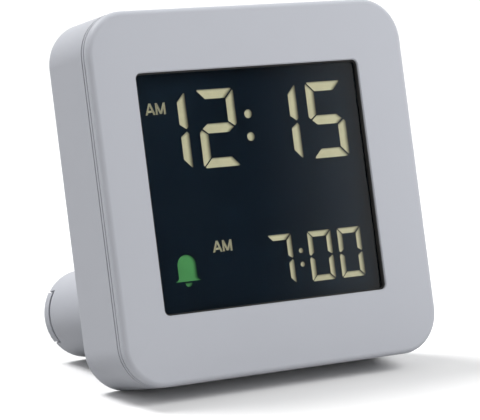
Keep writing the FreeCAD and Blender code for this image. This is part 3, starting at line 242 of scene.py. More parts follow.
def makeGrain():
    # spark-eroded mould texture: fine noise for bump and specks, wide noise for clouds, and a third
    # noise that moves the roughness up and down by half of the smears
    group, w, start, end = newGroup(
        "mouldGrain",
        [("Vector", "Vector", None), ("Color", "Color", midGrey), ("Grain Size", "Float", 0.35),
         ("Grain Depth", "Float", 0.01), ("Mottle", "Float", 0.03), ("Roughness", "Float", 0.5)],
        [("Color", "Color"), ("Roughness", "Float"), ("Normal", "Vector")])
    fine = w.noise(start["Vector"], w.math("DIVIDE", 1 / mm, start["Grain Size"]), detail=4.0)
    wide = w.noise(start["Vector"], grainLook["cloudScale"], detail=5.0)
    smear = w.noise(start["Vector"], grainLook["smearScale"], detail=2.0)
    bump = w.node("Bump")
    bump.inputs["Strength"].default_value = grainLook["bumpStrength"]
    w.link(w.math("MULTIPLY", start["Grain Depth"], mm), bump.inputs["Distance"])
    w.link(fine, bump.inputs["Height"])
    w.link(bump.outputs[0], end["Normal"])
    clouds = w.math("MULTIPLY", w.math("SUBTRACT", wide, 0.5), start["Mottle"])
    specks = w.math("MULTIPLY", w.math("SUBTRACT", fine, 0.5),
                    w.math("MULTIPLY", start["Mottle"], grainLook["specks"]))
    tint = w.node("HueSaturation")
    w.link(w.math("ADD", 1.0, w.math("ADD", clouds, specks)), tint.inputs["Value"])
    w.link(start["Color"], tint.inputs["Color"])
    w.link(tint.outputs[0], end["Color"])
    rough = w.math("MULTIPLY_ADD", w.math("SUBTRACT", smear, 0.5), grainLook["smears"], start["Roughness"],
                   clamp=True)
    w.link(rough, end["Roughness"])
    return group


wearLook = {
    "turnedFrom": 0.985, "turnedTo": 0.80,    # cosine between the flat and the rounded normal
    "scale": 420.0,
    "brokenFrom": 0.35, "brokenTo": 0.7,      # noise that breaks the rubbed edge up
    "samples": 4,
}


def makeEdgeWear():
    # rubbed edges: where a rounded normal leaves the flat one, broken up by noise
    group, w, start, end = newGroup(
        "edgeWear",
        [("Vector", "Vector", None), ("Color", "Color", midGrey),
         ("Worn Color", "Color", (0.8, 0.8, 0.8, 1.0)), ("Width", "Float", 0.3), ("Amount", "Float", 0.3)],
        [("Color", "Color")])
    rounded = w.node("Bevel", samples=wearLook["samples"])
    w.link(w.math("MULTIPLY", start["Width"], mm), rounded.inputs["Radius"])
    flat = w.node("NewGeometry").outputs["Normal"]
    turned = w.span(w.along(rounded.outputs[0], flat), wearLook["turnedFrom"], wearLook["turnedTo"])
    noise = w.noise(start["Vector"], wearLook["scale"], detail=4.0)
    broken = w.span(noise, wearLook["brokenFrom"], wearLook["brokenTo"])
    mask = w.math("MULTIPLY", w.math("MULTIPLY", turned, broken), start["Amount"], clamp=True)
    w.link(w.mix(mask, start["Color"], start["Worn Color"]), end["Color"])
    return group


dustAndShadeLook = {
    "openFrom": 0.85, "openTo": 0.3,          # how open a spot is where the dust and painted shade start and where they are full
    "scale": 300.0,
    "patchyFrom": 0.3, "patchyTo": 0.75,
    "samples": 4,
}


def makeDustAndShade():
    # fine dust in patches together with painted shade, darkening corners and seams by how hidden they are
    group, w, start, end = newGroup(
        "cornerDustAndShade",
        [("Vector", "Vector", None), ("Color", "Color", midGrey),
         ("Dust And Shade Color", "Color", (0.3, 0.29, 0.27, 1.0)), ("Reach", "Float", 1.2), ("Amount", "Float", 0.2)],
        [("Color", "Color")])
    corner = w.node("AmbientOcclusion", samples=dustAndShadeLook["samples"])
    w.link(w.math("MULTIPLY", start["Reach"], mm), corner.inputs["Distance"])
    hidden = w.span(corner.outputs["AO"], dustAndShadeLook["openFrom"], dustAndShadeLook["openTo"])
    noise = w.noise(start["Vector"], dustAndShadeLook["scale"], detail=3.0)
    patchy = w.span(noise, dustAndShadeLook["patchyFrom"], dustAndShadeLook["patchyTo"])
    mask = w.math("MULTIPLY", w.math("MULTIPLY", hidden, patchy), start["Amount"], clamp=True)
    w.link(w.mix(mask, start["Color"], start["Dust And Shade Color"]), end["Color"])
    return group


grainGroup = makeGrain()
wearGroup = makeEdgeWear()
dustAndShadeGroup = makeDustAndShade()

# Finishes


def newMaterial(name):
    material = bpy.data.materials.new(name)
    material.use_nodes = True
    wires = Wires(material.node_tree)
    shader = material.node_tree.nodes["Principled BSDF"]
    where = wires.node("TexCoord").outputs["Object"]
    return material, wires, shader, where


def color(values):
    return (*values, 1.0)


def finishMaterial(name, look):
    # a solid surface: moulded grain, rubbed edges, and dust with painted shade in the corners
    material, w, shader, where = newMaterial(name)
    grain = w.group(grainGroup, {
        "Vector": where, "Color": color(look["color"]), "Grain Size": look["grainSize"],
        "Grain Depth": look["grainDepth"], "Mottle": look["mottle"], "Roughness": look["roughness"]})
    wear = w.group(wearGroup, {
        "Vector": where, "Color": grain["Color"], "Worn Color": color(look["wornColor"]),
        "Width": look["wornWidth"], "Amount": look["worn"]})
    # dust and painted shade: corners and seams darkened by ambient occlusion
    dustAndShade = w.group(dustAndShadeGroup, {"Vector": where, "Color": wear["Color"], "Amount": look["dustAndShade"]})
    w.link(dustAndShade["Color"], shader.inputs["Base Color"])
    w.link(grain["Roughness"], shader.inputs["Roughness"])
    w.link(grain["Normal"], shader.inputs["Normal"])
    shader.inputs["Metallic"].default_value = look["metallic"]
    shader.inputs["Specular IOR Level"].default_value = look["specular"]
    return material


# what a finish doesn't give itself; grain and worn edges are in millimetres
plainLook = {
    "color": (0.5, 0.5, 0.5), "roughness": 0.5, "grainSize": 0.35, "grainDepth": 0.02, "mottle": 0.05,
    "wornColor": (0.7, 0.7, 0.7), "wornWidth": 0.25, "worn": 0.1, "dustAndShade": 0.25,
    "metallic": 0.0, "specular": 0.5,
}

looks = {
    "casePlastic": {"color": (0.462, 0.476, 0.519), "grainSize": 0.3, "mottle": 0.035, "roughness": 0.52,
                    "wornColor": (0.56, 0.57, 0.6), "worn": 0.25, "dustAndShade": 0.2, "specular": 0.4},
    "keyPlastic": {"color": (0.34, 0.355, 0.39), "roughness": 0.42, "wornColor": (0.5, 0.51, 0.54),
                   "worn": 0.35},
    "sliderPlastic": {"color": (0.05, 0.053, 0.058), "roughness": 0.4, "wornColor": (0.16, 0.16, 0.17),
                      "worn": 0.4},
    "footRubber": {"color": (0.03, 0.03, 0.032), "grainSize": 0.6, "grainDepth": 0.06, "roughness": 0.8,
                   "wornColor": (0.09, 0.09, 0.09), "dustAndShade": 0.5, "specular": 0.3},
    "whitePlastic": {"color": (0.75, 0.75, 0.73), "roughness": 0.45},
    "blackPlastic": {"color": (0.022, 0.022, 0.023), "roughness": 0.38, "wornColor": (0.08, 0.08, 0.08)},
    "switchPlastic": {"color": (0.68, 0.67, 0.63), "roughness": 0.4},
    "gasketRubber": {"color": (0.022, 0.022, 0.022), "grainSize": 0.2, "roughness": 0.6,
                     "wornColor": (0.03, 0.03, 0.03), "specular": 0.3},
    "contactRubber": {"color": (0.6, 0.56, 0.52), "grainSize": 0.2, "grainDepth": 0.03, "roughness": 0.7},
    "lampPlastic": {"color": (0.8, 0.72, 0.42), "roughness": 0.25, "specular": 0.6},
    "guidePlastic": {"color": (0.82, 0.83, 0.8), "roughness": 0.3, "grainDepth": 0.008},
    "blackResin": {"color": (0.012, 0.012, 0.012), "grainSize": 2.0, "grainDepth": 0.08, "roughness": 0.16,
                   "worn": 0.0, "specular": 0.6},
    "crystalSteel": {"color": (0.6, 0.6, 0.6), "metallic": 1.0, "roughness": 0.3, "grainDepth": 0.006},
    "contactSteel": {"color": (0.66, 0.64, 0.6), "metallic": 1.0, "roughness": 0.28, "grainDepth": 0.006},
    "screwSteel": {"color": (0.5, 0.5, 0.51), "metallic": 1.0, "roughness": 0.34, "grainDepth": 0.01,
                   "wornColor": (0.8, 0.8, 0.8), "worn": 0.5},
    "labelInk": {"color": (0.09, 0.095, 0.105), "roughness": 0.55, "grainDepth": 0.005, "worn": 0.0},
}
materials = {name: finishMaterial(name, {**plainLook, **look}) for name, look in looks.items()}

boardLook = {
    "mask": (0.012, 0.11, 0.045), "track": (0.03, 0.2, 0.08), "tin": (0.62, 0.62, 0.6), "roughness": 0.32,
    "trackScale": 260.0, "trackWidth": 0.03, "trackFrom": 0.2, "trackTo": 0.6,
    "padScale": 330.0, "padFrom": 0.14, "padTo": 0.1,
}


def makeBoard():
    # green mask with copper tracks that show through as lighter lines, and tinned pads
    material, w, shader, where = newMaterial("circuitBoard")
    tracks = w.node("TexBrick")
    tracks.inputs["Scale"].default_value = boardLook["trackScale"]
    tracks.inputs["Mortar Size"].default_value = boardLook["trackWidth"]
    w.link(where, tracks.inputs["Vector"])
    pads = w.node("TexVoronoi")
    pads.inputs["Scale"].default_value = boardLook["padScale"]
    w.link(where, pads.inputs["Vector"])
    track = w.span(tracks.outputs["Fac"], boardLook["trackFrom"], boardLook["trackTo"])
    pad = w.span(pads.outputs["Distance"], boardLook["padFrom"], boardLook["padTo"])
    mask = w.mix(track, color(boardLook["mask"]), color(boardLook["track"]))
    w.link(w.mix(pad, mask, color(boardLook["tin"])), shader.inputs["Base Color"])
    w.link(pad, shader.inputs["Metallic"])
    shader.inputs["Roughness"].default_value = boardLook["roughness"]
    return material


sleeveLook = {
    "sleeve": (0.03, 0.055, 0.07), "band": (0.5, 0.27, 0.13), "bare": (0.7, 0.69, 0.66),
    "bandFrom": 0.62, "bareFrom": 0.955,      # from the cell's middle, in half lengths
    "edge": 0.2 * mm,                         # soft edge between two of them
    "sheen": 0.25,                            # metal that shows through the print
    "grainSize": 1.2, "grainDepth": 0.01, "mottle": 0.06, "roughness": 0.3,
}


def makeCellSleeve(halfLength):
    # printed sleeve: dark middle, a copper-coloured band towards each end and bare metal tips
    material, w, shader, where = newMaterial("cellSleeve")
    split = w.node("SeparateXYZ")
    w.link(where, split.inputs[0])
    fromMiddle = w.math("ABSOLUTE", split.outputs["X"])
    bandStart, bareStart = sleeveLook["bandFrom"] * halfLength, sleeveLook["bareFrom"] * halfLength
    band = w.span(fromMiddle, bandStart, bandStart + sleeveLook["edge"])
    bare = w.span(fromMiddle, bareStart, bareStart + sleeveLook["edge"])
    printed = w.mix(band, color(sleeveLook["sleeve"]), color(sleeveLook["band"]))
    grain = w.group(grainGroup, {
        "Vector": where, "Color": printed, "Grain Size": sleeveLook["grainSize"],
        "Grain Depth": sleeveLook["grainDepth"], "Mottle": sleeveLook["mottle"],
        "Roughness": sleeveLook["roughness"]})
    w.link(w.mix(bare, grain["Color"], color(sleeveLook["bare"])), shader.inputs["Base Color"])
    w.link(w.math("MAXIMUM", bare, sleeveLook["sheen"]), shader.inputs["Metallic"])
    w.link(grain["Roughness"], shader.inputs["Roughness"])
    w.link(grain["Normal"], shader.inputs["Normal"])
    return material


windowLook = {
    "color": (0.97, 0.98, 0.985), "ior": 1.04, "coatRoughness": 0.02,
    "wearScale": 60.0, "wearFrom": 0.35, "wearTo": 0.75,
    "worn": 0.9,                              # gloss that is left where the coat is worn
}


def makeWindow(middleDepth):
    # clear cover, glued to the display behind it, so that only its hard-coated front reflects;
    # fine hairline wear makes the gloss a little uneven
    material, w, shader, where = newMaterial("clearWindow")
    front = w.math("LESS_THAN", w.along(where, backAxis), middleDepth)
    noise = w.noise(where, windowLook["wearScale"], detail=4.0)
    gloss = w.span(noise, windowLook["wearFrom"], windowLook["wearTo"], 1.0, windowLook["worn"])
    w.link(w.math("MULTIPLY", front, gloss), shader.inputs["Coat Weight"])
    shader.inputs["Coat Roughness"].default_value = windowLook["coatRoughness"]
    shader.inputs["Base Color"].default_value = color(windowLook["color"])
    shader.inputs["Roughness"].default_value = 0.0
    shader.inputs["IOR"].default_value = windowLook["ior"]
    shader.inputs["Transmission Weight"].default_value = 1.0
    return material


glassLook = {
    "dark": (0.0052, 0.0112, 0.0185), "pale": (0.0075, 0.0150, 0.0235), "roughness": 0.35,
    "scale": 25.0, "paleFrom": 0.3, "paleTo": 0.7,
}


def makeDisplayGlass():
    # reversed display: nearly black, faintly blue, a little uneven
    material, w, shader, where = newMaterial("displayGlass")
    noise = w.noise(where, glassLook["scale"], detail=2.0)
    cloud = w.span(noise, glassLook["paleFrom"], glassLook["paleTo"])
    w.link(w.mix(cloud, color(glassLook["dark"]), color(glassLook["pale"])), shader.inputs["Base Color"])
    shader.inputs["Roughness"].default_value = glassLook["roughness"]
    shader.inputs["Specular IOR Level"].default_value = 0.0  # the gloss is the window's
    return material


# lit colour and painted shadow colour of each kind of shape
segmentLooks = {
    "segmentCream": {"lit": (0.38, 0.362, 0.236), "shadow": (0.05, 0.046, 0.03)},
    "segmentGreen": {"lit": (0.052, 0.188, 0.062), "shadow": (0.007, 0.025, 0.011)},
}
# the segments glow with painted light, in place of the lamp light that the window keeps from them
segmentPaintedGlow = {"strength": 0.55, "roughness": 0.6, "scale": 350.0, "dimFrom": 0.3, "dimTo": 0.7, "dim": 0.10}


def makeSegment(name, look):
    # lit part of the display, whose glow is painted light: the shadow of the mask in front is painted along
    # its right-hand edge
    material, w, shader, where = newMaterial(name)
    edge = w.node("Attribute", attribute_name="shade").outputs["Fac"]
    noise = w.noise(where, segmentPaintedGlow["scale"], detail=2.0)
    cloud = w.span(noise, segmentPaintedGlow["dimFrom"], segmentPaintedGlow["dimTo"])
    factor = w.math("ADD", edge, w.math("MULTIPLY", cloud, segmentPaintedGlow["dim"]), clamp=True)
    tone = w.mix(factor, color(look["lit"]), color(look["shadow"]))
    w.link(tone, shader.inputs["Base Color"])
    w.link(tone, shader.inputs["Emission Color"])
    shader.inputs["Emission Strength"].default_value = segmentPaintedGlow["strength"]
    shader.inputs["Roughness"].default_value = segmentPaintedGlow["roughness"]
    shader.inputs["Specular IOR Level"].default_value = 0.0
    return material


cellHigh = leanedExtent("battery_front")[1]
windowLow, windowHigh = leanedExtent("display_window")
materials["circuitBoard"] = makeBoard()
materials["cellSleeve"] = makeCellSleeve(float(cellHigh[0]))
materials["clearWindow"] = makeWindow(float(windowLow[1] + windowHigh[1]) / 2)
materials["displayGlass"] = makeDisplayGlass()
for name, look in segmentLooks.items():
    materials[name] = makeSegment(name, look)

nodeFinish = {
    "casePlastic": ["front_bezel", "rear_case", "battery_door"],
    "keyPlastic": ["snooze_bar", "time_key", "alarm_key", "minus_key", "plus_key"],
    "sliderPlastic": ["alarm_slider"],
    "footRubber": ["stand_foot"],
    "clearWindow": ["display_window"],
    "displayGlass": ["lcd_panel"],
    "guidePlastic": ["light_guide"],
    "whitePlastic": ["lcd_holder"],
    "contactRubber": ["zebra_strip"],
    "circuitBoard": ["main_board"],
    "lampPlastic": ["backlight_leds"],
    "blackResin": ["chip_dome"],
    "crystalSteel": ["crystal_can"],
    "blackPlastic": ["sounder", "snooze_switch", "key_switches", "alarm_switch"],
    "switchPlastic": ["snooze_plunger", "time_plunger", "alarm_plunger", "minus_plunger", "plus_plunger",
                      "alarm_switch_lever"],
    "cellSleeve": ["battery_front", "battery_rear"],
    "contactSteel": ["positive_contact", "negative_contact", "link_contact"],
    "screwSteel": ["case_screws", "board_screws"],
}
smoothing = {"angle": 24, "weld": 0.002 * mm}


def dressNodes():
    # every slot of a node gets the node's finish
    for finish, names in nodeFinish.items():
        for name in names:
            node = frame["nodes"][name]
            if not node.material_slots:
                node.data.materials.append(materials[finish])
            for holder in node.material_slots:
                holder.material = materials[finish]


def smoothNodes():
    # weld the loose triangles and keep edges sharper than the angle, so that rounds look round
    for names in nodeFinish.values():
        for name in names:
            node = frame["nodes"][name]
            node.data.polygons.foreach_set("use_smooth", np.ones(len(node.data.polygons), dtype=bool))
            weld = node.modifiers.new("weld", "WELD")
            weld.merge_threshold = smoothing["weld"]
            splitEdges(node, smoothing["angle"])


dressNodes()
print("nodes dressed")

# Display: what it shows, in the gap between window and glass

glassFront = extent("lcd_panel")[0][1]
display = {
    "depth": glassFront - 0.05,       # front of the lit shapes
    "thickness": 0.04,
    "shadeRight": 0.85,               # painted soft shadow on the right of each shape
    "shadeTop": 0.35,                 # and along its top, where it is fainter
    "topShare": 0.7,
    "steps": 13,                      # grid of one segment
    "dotSteps": 12,
    "strokeAcross": 4, "strokeAlong": 8,
}
bigDigits = {
    "text": "12:15", "width": 8.95, "height": 15.95, "stroke": 1.95, "top": 20.94,
    "lefts": [-24.4, -12.95, 2.03, 13.5], "dotX": -1.06, "dotHeights": [15.35, 10.68], "dotRadius": 0.89,
}
smallDigits = {
    "text": "7:00", "width": 5.79, "height": 10.36, "stroke": 1.2, "top": -9.86,
    "lefts": [-0.32, 9.41, 16.78], "dotX": 7.47, "dotHeights": [-13.6, -16.43], "dotRadius": 0.52,
}
halfDay = {
    "spots": [{"left": -24.85, "bottom": 16.55, "height": 2.35},
              {"left": -13.35, "bottom": -12.05, "height": 2.3}],
    "stroke": 0.42,
    # share of the painted edge shadow that the letters get
    "shading": 0.6,
    "widthA": 0.95, "barA": 0.3,      # in letter heights, as what follows
    "leftM": 1.1, "widthM": 0.78, "notchM": 0.05,
}
bell = {
    "x": -19.8, "top": -11.86, "radius": 2.15, "rimHeight": -17.2, "rimHalf": 2.92, "flareStart": 0.8,
    "clapperRadius": 0.8, "clapperTop": -17.55,
    "flat": 0.005,                    # dome and clapper end this short of their poles, in radii
    "rows": 24, "clapperRows": 9, "columns": 17,
}

segmentsOf = {"0": "abcdef", "1": "bc", "2": "abdeg", "5": "acdfg", "7": "abc"}

# how far each end of a segment stands back, in strokes, from its outer edge to its inner edge
cornerEnd = ([0.0, 0.10, 1.0], [0.30, 0.20, 1.11])
middleEnd = ([0.0, 0.25, 1.0], [0.38, 0.13, 0.64])
barEnd = ([0.0, 0.5, 1.0], [1.03, 0.40, 1.03])


def shadeEdges(x, z):
    # painted shade: 1 at the right-hand edge of each row and the top of each column, 0 from the shade width
    # inwards
    right = 1 - (x.max(axis=1, keepdims=True) - x) / display["shadeRight"]
    top = 1 - (z.max(axis=0, keepdims=True) - z) / display["shadeTop"]
    return np.clip(np.maximum(right, display["topShare"] * top), 0, 1)


def segment(letter, left, digits):
    # ruled grid: u runs along the segment between its two bevelled ends, v across its stroke
    width, height, stroke = digits["width"], digits["height"], digits["stroke"]
    v = np.linspace(0, 1, display["steps"])[:, None]
    u = np.linspace(0, 1, display["steps"])[None, :]
    if letter in "adg":
        ends = barEnd if letter == "g" else cornerEnd
        setBack = np.interp(v, *ends) * stroke
        x = left + setBack + u * (width - 2 * setBack)
        outer = {"a": 0.0, "d": height, "g": (height - stroke) / 2}[letter]
        inward = -1 if letter == "d" else 1
        z = digits["top"] - outer - inward * v * stroke + 0 * u
        return (x, z) if letter == "d" else (x[::-1], z[::-1])
    far = np.interp(v, *cornerEnd) * stroke
    near = np.interp(v, *middleEnd) * stroke
    run = far + u * (height / 2 - far - near)
    up = letter in "bf"
    z = digits["top"] - run if up else digits["top"] - height + run
    x = left + (width - v * stroke if letter in "bc" else v * stroke) + 0 * u
    x, z = x.T, z.T
    if up:
        x, z = x[::-1], z[::-1]
    return (x[:, ::-1], z[:, ::-1]) if letter in "bc" else (x, z)


def disc(x, z, radius):
    # two-parameter square grid squeezed into a circle
    line = np.linspace(-1, 1, display["dotSteps"])
    u, v = np.meshgrid(line, line)
    return x + radius * u * np.sqrt(1 - v * v / 2), z + radius * v * np.sqrt(1 - u * u / 2)


def stroke(x0, z0, x1, z1, width):
    # straight stroke of even width: a level one has upright ends, any other has level ends
    v = np.linspace(-0.5, 0.5, display["strokeAcross"])[:, None]
    u = np.linspace(0, 1, display["strokeAlong"])[None, :]
    if math.isclose(z0, z1, abs_tol=1e-6):
        return x0 + u * (x1 - x0) + 0 * v, z0 + v * width + 0 * u
    slant = width * math.hypot(x1 - x0, z1 - z0) / abs(z1 - z0)
    x = x0 + (x1 - x0) * u + v * slant
    z = z0 + (z1 - z0) * u + 0 * v
    return x.T, z.T


def shapesPiece(name, grids, material, shading=1.0):
    # each grid as a thin plate, with how dark its painted edge shadow is as an attribute of its points
    plates = [slab(x, z, display["depth"], display["thickness"]) for x, z in grids]
    shade = shading * np.concatenate([np.tile(shadeEdges(x, z).ravel(), 2) for x, z in grids])
    points, faces = joined(plates)
    piece = newPiece(name, points, faces, materials[material], shade=shade)


def digitGrids(digits):
    # the segments of every figure, and the colon's two dots
    grids = []
    for figure, left in zip(digits["text"].replace(":", ""), digits["lefts"]):
        grids += [segment(letter, left, digits) for letter in segmentsOf[figure]]
    grids += [disc(digits["dotX"], height, digits["dotRadius"]) for height in digits["dotHeights"]]
    return grids


def halfDayGrids(left, bottom, height):
    # the letters A and M out of straight strokes
    width, top, half = halfDay["widthA"] * height, bottom + height, halfDay["stroke"] / 2
    bar = bottom + halfDay["barA"] * height
    first = left + halfDay["leftM"] * height
    last = first + halfDay["widthM"] * height
    middle, notch = (first + last) / 2, bottom + halfDay["notchM"] * height
    lines = [
        (left + half, bottom, left + width / 2, top),
        (left + width - half, bottom, left + width / 2, top),
        (left + width / 4, bar, left + 3 * width / 4, bar),
        (first, bottom, first, top),
        (middle, notch, first, top),
        (middle, notch, last, top),
        (last, bottom, last, top),
    ]
    return [stroke(*line, halfDay["stroke"]) for line in lines]


def bellGrids():
    # dome, straight skirt and flared rim: half the width as a function of height. The clapper is the
    # lower half of a circle
    radius, ball, rim = bell["radius"], bell["clapperRadius"], bell["rimHeight"]
    rows = np.linspace(rim, bell["top"] - bell["flat"] * radius, bell["rows"])[:, None]
    aboveSkirt = np.clip(rows - (bell["top"] - radius), 0, None)
    dome = np.sqrt(np.clip(radius ** 2 - aboveSkirt ** 2, 0, None))
    flare = np.clip((rim + bell["flareStart"] - rows) / bell["flareStart"], 0, 1) ** 2
    half = dome + flare * (bell["rimHalf"] - radius)
    across = np.linspace(-1, 1, bell["columns"])[None, :]
    low = np.linspace(bell["flat"] - 1, 0, bell["clapperRows"])[:, None]
    clapperHalf = ball * np.sqrt(1 - low ** 2)
    return [(bell["x"] + half * across, rows + 0 * across),
            (bell["x"] + clapperHalf * across, bell["clapperTop"] + ball * low + 0 * across)]


shapesPiece("time_digits", digitGrids(bigDigits), "segmentCream")
shapesPiece("alarm_digits", digitGrids(smallDigits), "segmentCream")
for index, spot in enumerate(halfDay["spots"], start=1):
    shapesPiece("half_day_%d" % index, halfDayGrids(**spot), "segmentCream", halfDay["shading"])
shapesPiece("alarm_bell", bellGrids(), "segmentGreen")
print("display made")

# Gasket: thin black frame that seals the window's edge against the wall of its opening

gasket = {
    "windowPast": 1.6,    # window past each side of the opening
    "corner": 1.2,        # corners of the opening
    "front": 0.45,        # depth of its front edge below the face
    "width": 0.32,
    "squeeze": 0.02,      # how far it is pressed into the wall
    "round": 0.08,        # front inner edge
    "cornerSteps": 8,
    "sharp": 40,
}


def makeGasket():
    # profile (how far inside the opening's wall, how deep) carried round the opening: each corner
    # is an arc about its own centre, whose radius shrinks with the distance from the wall
    low, high = extent("display_window")
    inset = gasket["windowPast"] + gasket["corner"]
    turn = np.linspace(0, math.pi / 2, gasket["cornerSteps"])
    angle = np.concatenate([turn + quarter * math.pi / 2 for quarter in range(4)])
    centreX = np.repeat([high[0] - inset, low[0] + inset, low[0] + inset, high[0] - inset], len(turn))
    centreZ = np.repeat([high[2] - inset, high[2] - inset, low[2] + inset, low[2] + inset], len(turn))
    front, width, bevel = gasket["front"], gasket["width"], gasket["round"]
    back, wall = low[1], -gasket["squeeze"]
    profile = np.array([[wall, back], [wall, front], [width - bevel, front],
                        [width, front + bevel], [width, back]])
    radius = gasket["corner"] - profile[:, :1]
    x = centreX + radius * np.cos(angle)
    z = centreZ + radius * np.sin(angle)
    y = profile[:, 1:] + 0 * angle
    points = np.stack([x, y, z], axis=-1).reshape(-1, 3)
    piece = newPiece("window_gasket", points, gridFaces(*x.shape, closed=True, ring=True),
                     materials["gasketRubber"], smooth=True)
    splitEdges(piece, gasket["sharp"])


makeGasket()
print("gasket made")

# Case screws: round heads with a cross recess, sunk in their seats in the back

screws = {
    "headRadius": 2.6, "shankRadius": 1.3, "tipRadius": 0.5, "headHeight": 1.8, "tipLength": 1.5,
    "rimRound": 0.35,                 # rounded rim of the head
    "rimSteps": 4,
    "crown": 0.22,                    # middle of the head above its rim
    "recessDepth": 1.25,
    "recessRise": 0.4,                # share by which the recess would be shallower at the rim
    "recessHalf": 0.18,               # half width of the recess, how far its arms reach and the slope
    "recessReach": 0.62,              # of its walls, all as shares of the head's flat top
    "recessSlope": 0.035,
    "plainSteps": [0.3, 0.42, 0.75, 0.85, 0.93, 1.0],    # grid lines besides those of the recess
    "turns": [0.35, 1.20, 0.80, 0.10],    # how far each one was driven round
    "sharp": 35,
}


def gradual(value, low, high):
    # 0 below low, 1 above high, smooth between them
    share = np.clip((value - low) / (high - low), 0, 1)
    return share * share * (3 - 2 * share)


def screwHead(turned):
    # square grid squeezed into a circle; its height above the rim is the crown less a cross that is
    # deep where one of the two parameters is near 0
    half, reach, slope = screws["recessHalf"], screws["recessReach"], screws["recessSlope"]
    recessSteps = [0, half / 2, half - slope, half, half + slope,
                   reach - 2 * slope, reach - slope, reach, reach + slope]
    steps = np.sort(recessSteps + screws["plainSteps"])
    line = np.concatenate([-steps[:0:-1], steps])
    u, v = np.meshgrid(line, line)
    across, along = np.minimum(abs(u), abs(v)), np.maximum(abs(u), abs(v))
    arms = 1 - gradual(across, half - slope, half + slope)
    arms = arms * (1 - gradual(along, reach - 2 * slope, reach + slope))
    dx, dz = u * np.sqrt(1 - v * v / 2), v * np.sqrt(1 - u * u / 2)
    dx, dz = dx * math.cos(turned) - dz * math.sin(turned), dx * math.sin(turned) + dz * math.cos(turned)
    crown = screws["crown"] * (1 - dx * dx - dz * dz)
    return dx, dz, crown - screws["recessDepth"] * arms * (1 - screws["recessRise"] * along)


def screwShape(centreX, centreZ, front, back, turned):
    # the head's grid, and the profile of rim, shank and tip carried round the border of that grid
    dx, dz, height = screwHead(turned)
    rimRound, edge = screws["rimRound"], back - screws["crown"]
    flat = screws["headRadius"] - rimRound
    head = np.stack([centreX + flat * dx, edge + height, centreZ + flat * dz], axis=-1).reshape(-1, 3)
    rim = gridRim(*dx.shape)
    bend = np.linspace(0, math.pi / 2, screws["rimSteps"] + 1)[1:]
    rounded = np.stack([flat + rimRound * np.sin(bend), edge - rimRound * (1 - np.cos(bend))], axis=-1)
    under, shank = back - screws["headHeight"], screws["shankRadius"]
    profile = np.concatenate([rounded, [[screws["headRadius"], under], [shank, under],
                                        [shank, front + screws["tipLength"]], [screws["tipRadius"], front]]])
    radius, depth = profile[:, :1], profile[:, 1:]
    body = np.stack([centreX + radius * dx.ravel()[rim], depth + 0 * rim, centreZ + radius * dz.ravel()[rim]],
                    axis=-1).reshape(-1, 3)
    first = len(head) + np.arange(len(rim))
    faces = gridFaces(*dx.shape, flip=True) + gridFaces(len(profile), len(rim), len(head), closed=True)
    faces += np.stack([rim, np.roll(rim, -1), np.roll(first, -1), first], axis=-1).tolist()
    faces.append((first + (len(profile) - 1) * len(rim)).tolist())
    return np.concatenate([head, body]), faces


def makeScrews():
    low, high = extent("case_screws")
    reachX, reachZ = high[0] - screws["headRadius"], high[2] - screws["headRadius"]
    spots = [(x, z) for x in (-reachX, reachX) for z in (-reachZ, reachZ)]
    shapes = [screwShape(*spot, low[1], high[1], turned) for spot, turned in zip(spots, screws["turns"])]
    piece = newPiece("case_screw_set", *joined(shapes), materials["screwSteel"], smooth=True)
    splitEdges(piece, screws["sharp"])
    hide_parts("case_screws")


makeScrews()
print("screws made")

# Signs printed on the back, read from behind: one above each key, ON and OFF beside the alarm slider

signs = {
    "above": 5.9,          # middle of a sign above the middle of its key
    "words": {"ON": -7.1, "OFF": 9.6},    # middle of each word from the middle of the slider's stroke
    "height": 2.3,         # signs
    "wordHeight": 1.7,
    "stroke": 0.32,
    "thin": 0.8,           # hands of the clock face and slope of the N, in strokes
    "letterWidths": {"O": 0.86, "N": 0.74, "F": 0.58},    # in letter heights
    "letterGap": 0.24,
    "slopeN": 0.7,         # ends of the N's slope from its outer edges, in strokes
    "barF": 0.52,          # height of the F's short bar, in letter heights
    "shortF": 0.1,         # and what it is short of the long one, in letter widths
    "hands": (0.62, 0.5),  # upright and level hand, in half heights
    "bar": 0.84,           # arms of minus and plus, in half heights
    "keyProud": 0.8,       # keys above the wall, which gives the wall's place
    "proud": 0.03,         # ink above the wall
    "thickness": 0.08,
    "arcSteps": 17, "arcAcross": 3,
}


def arc(x, z, radiusX, radiusZ, width, first, last):
    # band inside an ellipse, from one angle to the other, both in quarter turns
    angle = np.linspace(first, last, signs["arcSteps"])[:, None] * math.pi / 2
    inward = np.linspace(1, 0, signs["arcAcross"])[None, :] * width
    return x + (radiusX - inward) * np.cos(angle), z + (radiusZ - inward) * np.sin(angle)


def hoop(x, z, radiusX, radiusZ):
    # whole ring out of two half bands
    return [arc(x, z, radiusX, radiusZ, signs["stroke"], half, half + 2) for half in (0, 2)]


def letterGrids(letter, left, wide, height):
    # a capital letter out of straight strokes and arcs
    pen, right = signs["stroke"], left + wide
    if letter == "O":
        return hoop(left + wide / 2, height / 2, wide / 2, height / 2)
    grids = [stroke(left + pen / 2, 0, left + pen / 2, height, pen)]
    if letter == "N":
        lean = signs["slopeN"] * pen
        grids.append(stroke(right - pen / 2, 0, right - pen / 2, height, pen))
        grids.append(stroke(right - lean, 0, left + lean, height, signs["thin"] * pen))
    if letter == "F":
        bar, short = signs["barF"] * height, right - signs["shortF"] * wide
        grids.append(stroke(left + pen, height - pen / 2, right, height - pen / 2, pen))
        grids.append(stroke(left + pen, bar, short, bar, pen))
    return grids


def wordGrids(word):
    # letters one after another, about their common middle
    height, grids, left = signs["wordHeight"], [], 0.0
    for letter in word:
        wide = signs["letterWidths"][letter] * height
        grids += letterGrids(letter, left, wide, height)
        left += wide + signs["letterGap"] * height
    middle = (left - signs["letterGap"] * height) / 2
    return [(x - middle, z - height / 2) for x, z in grids]


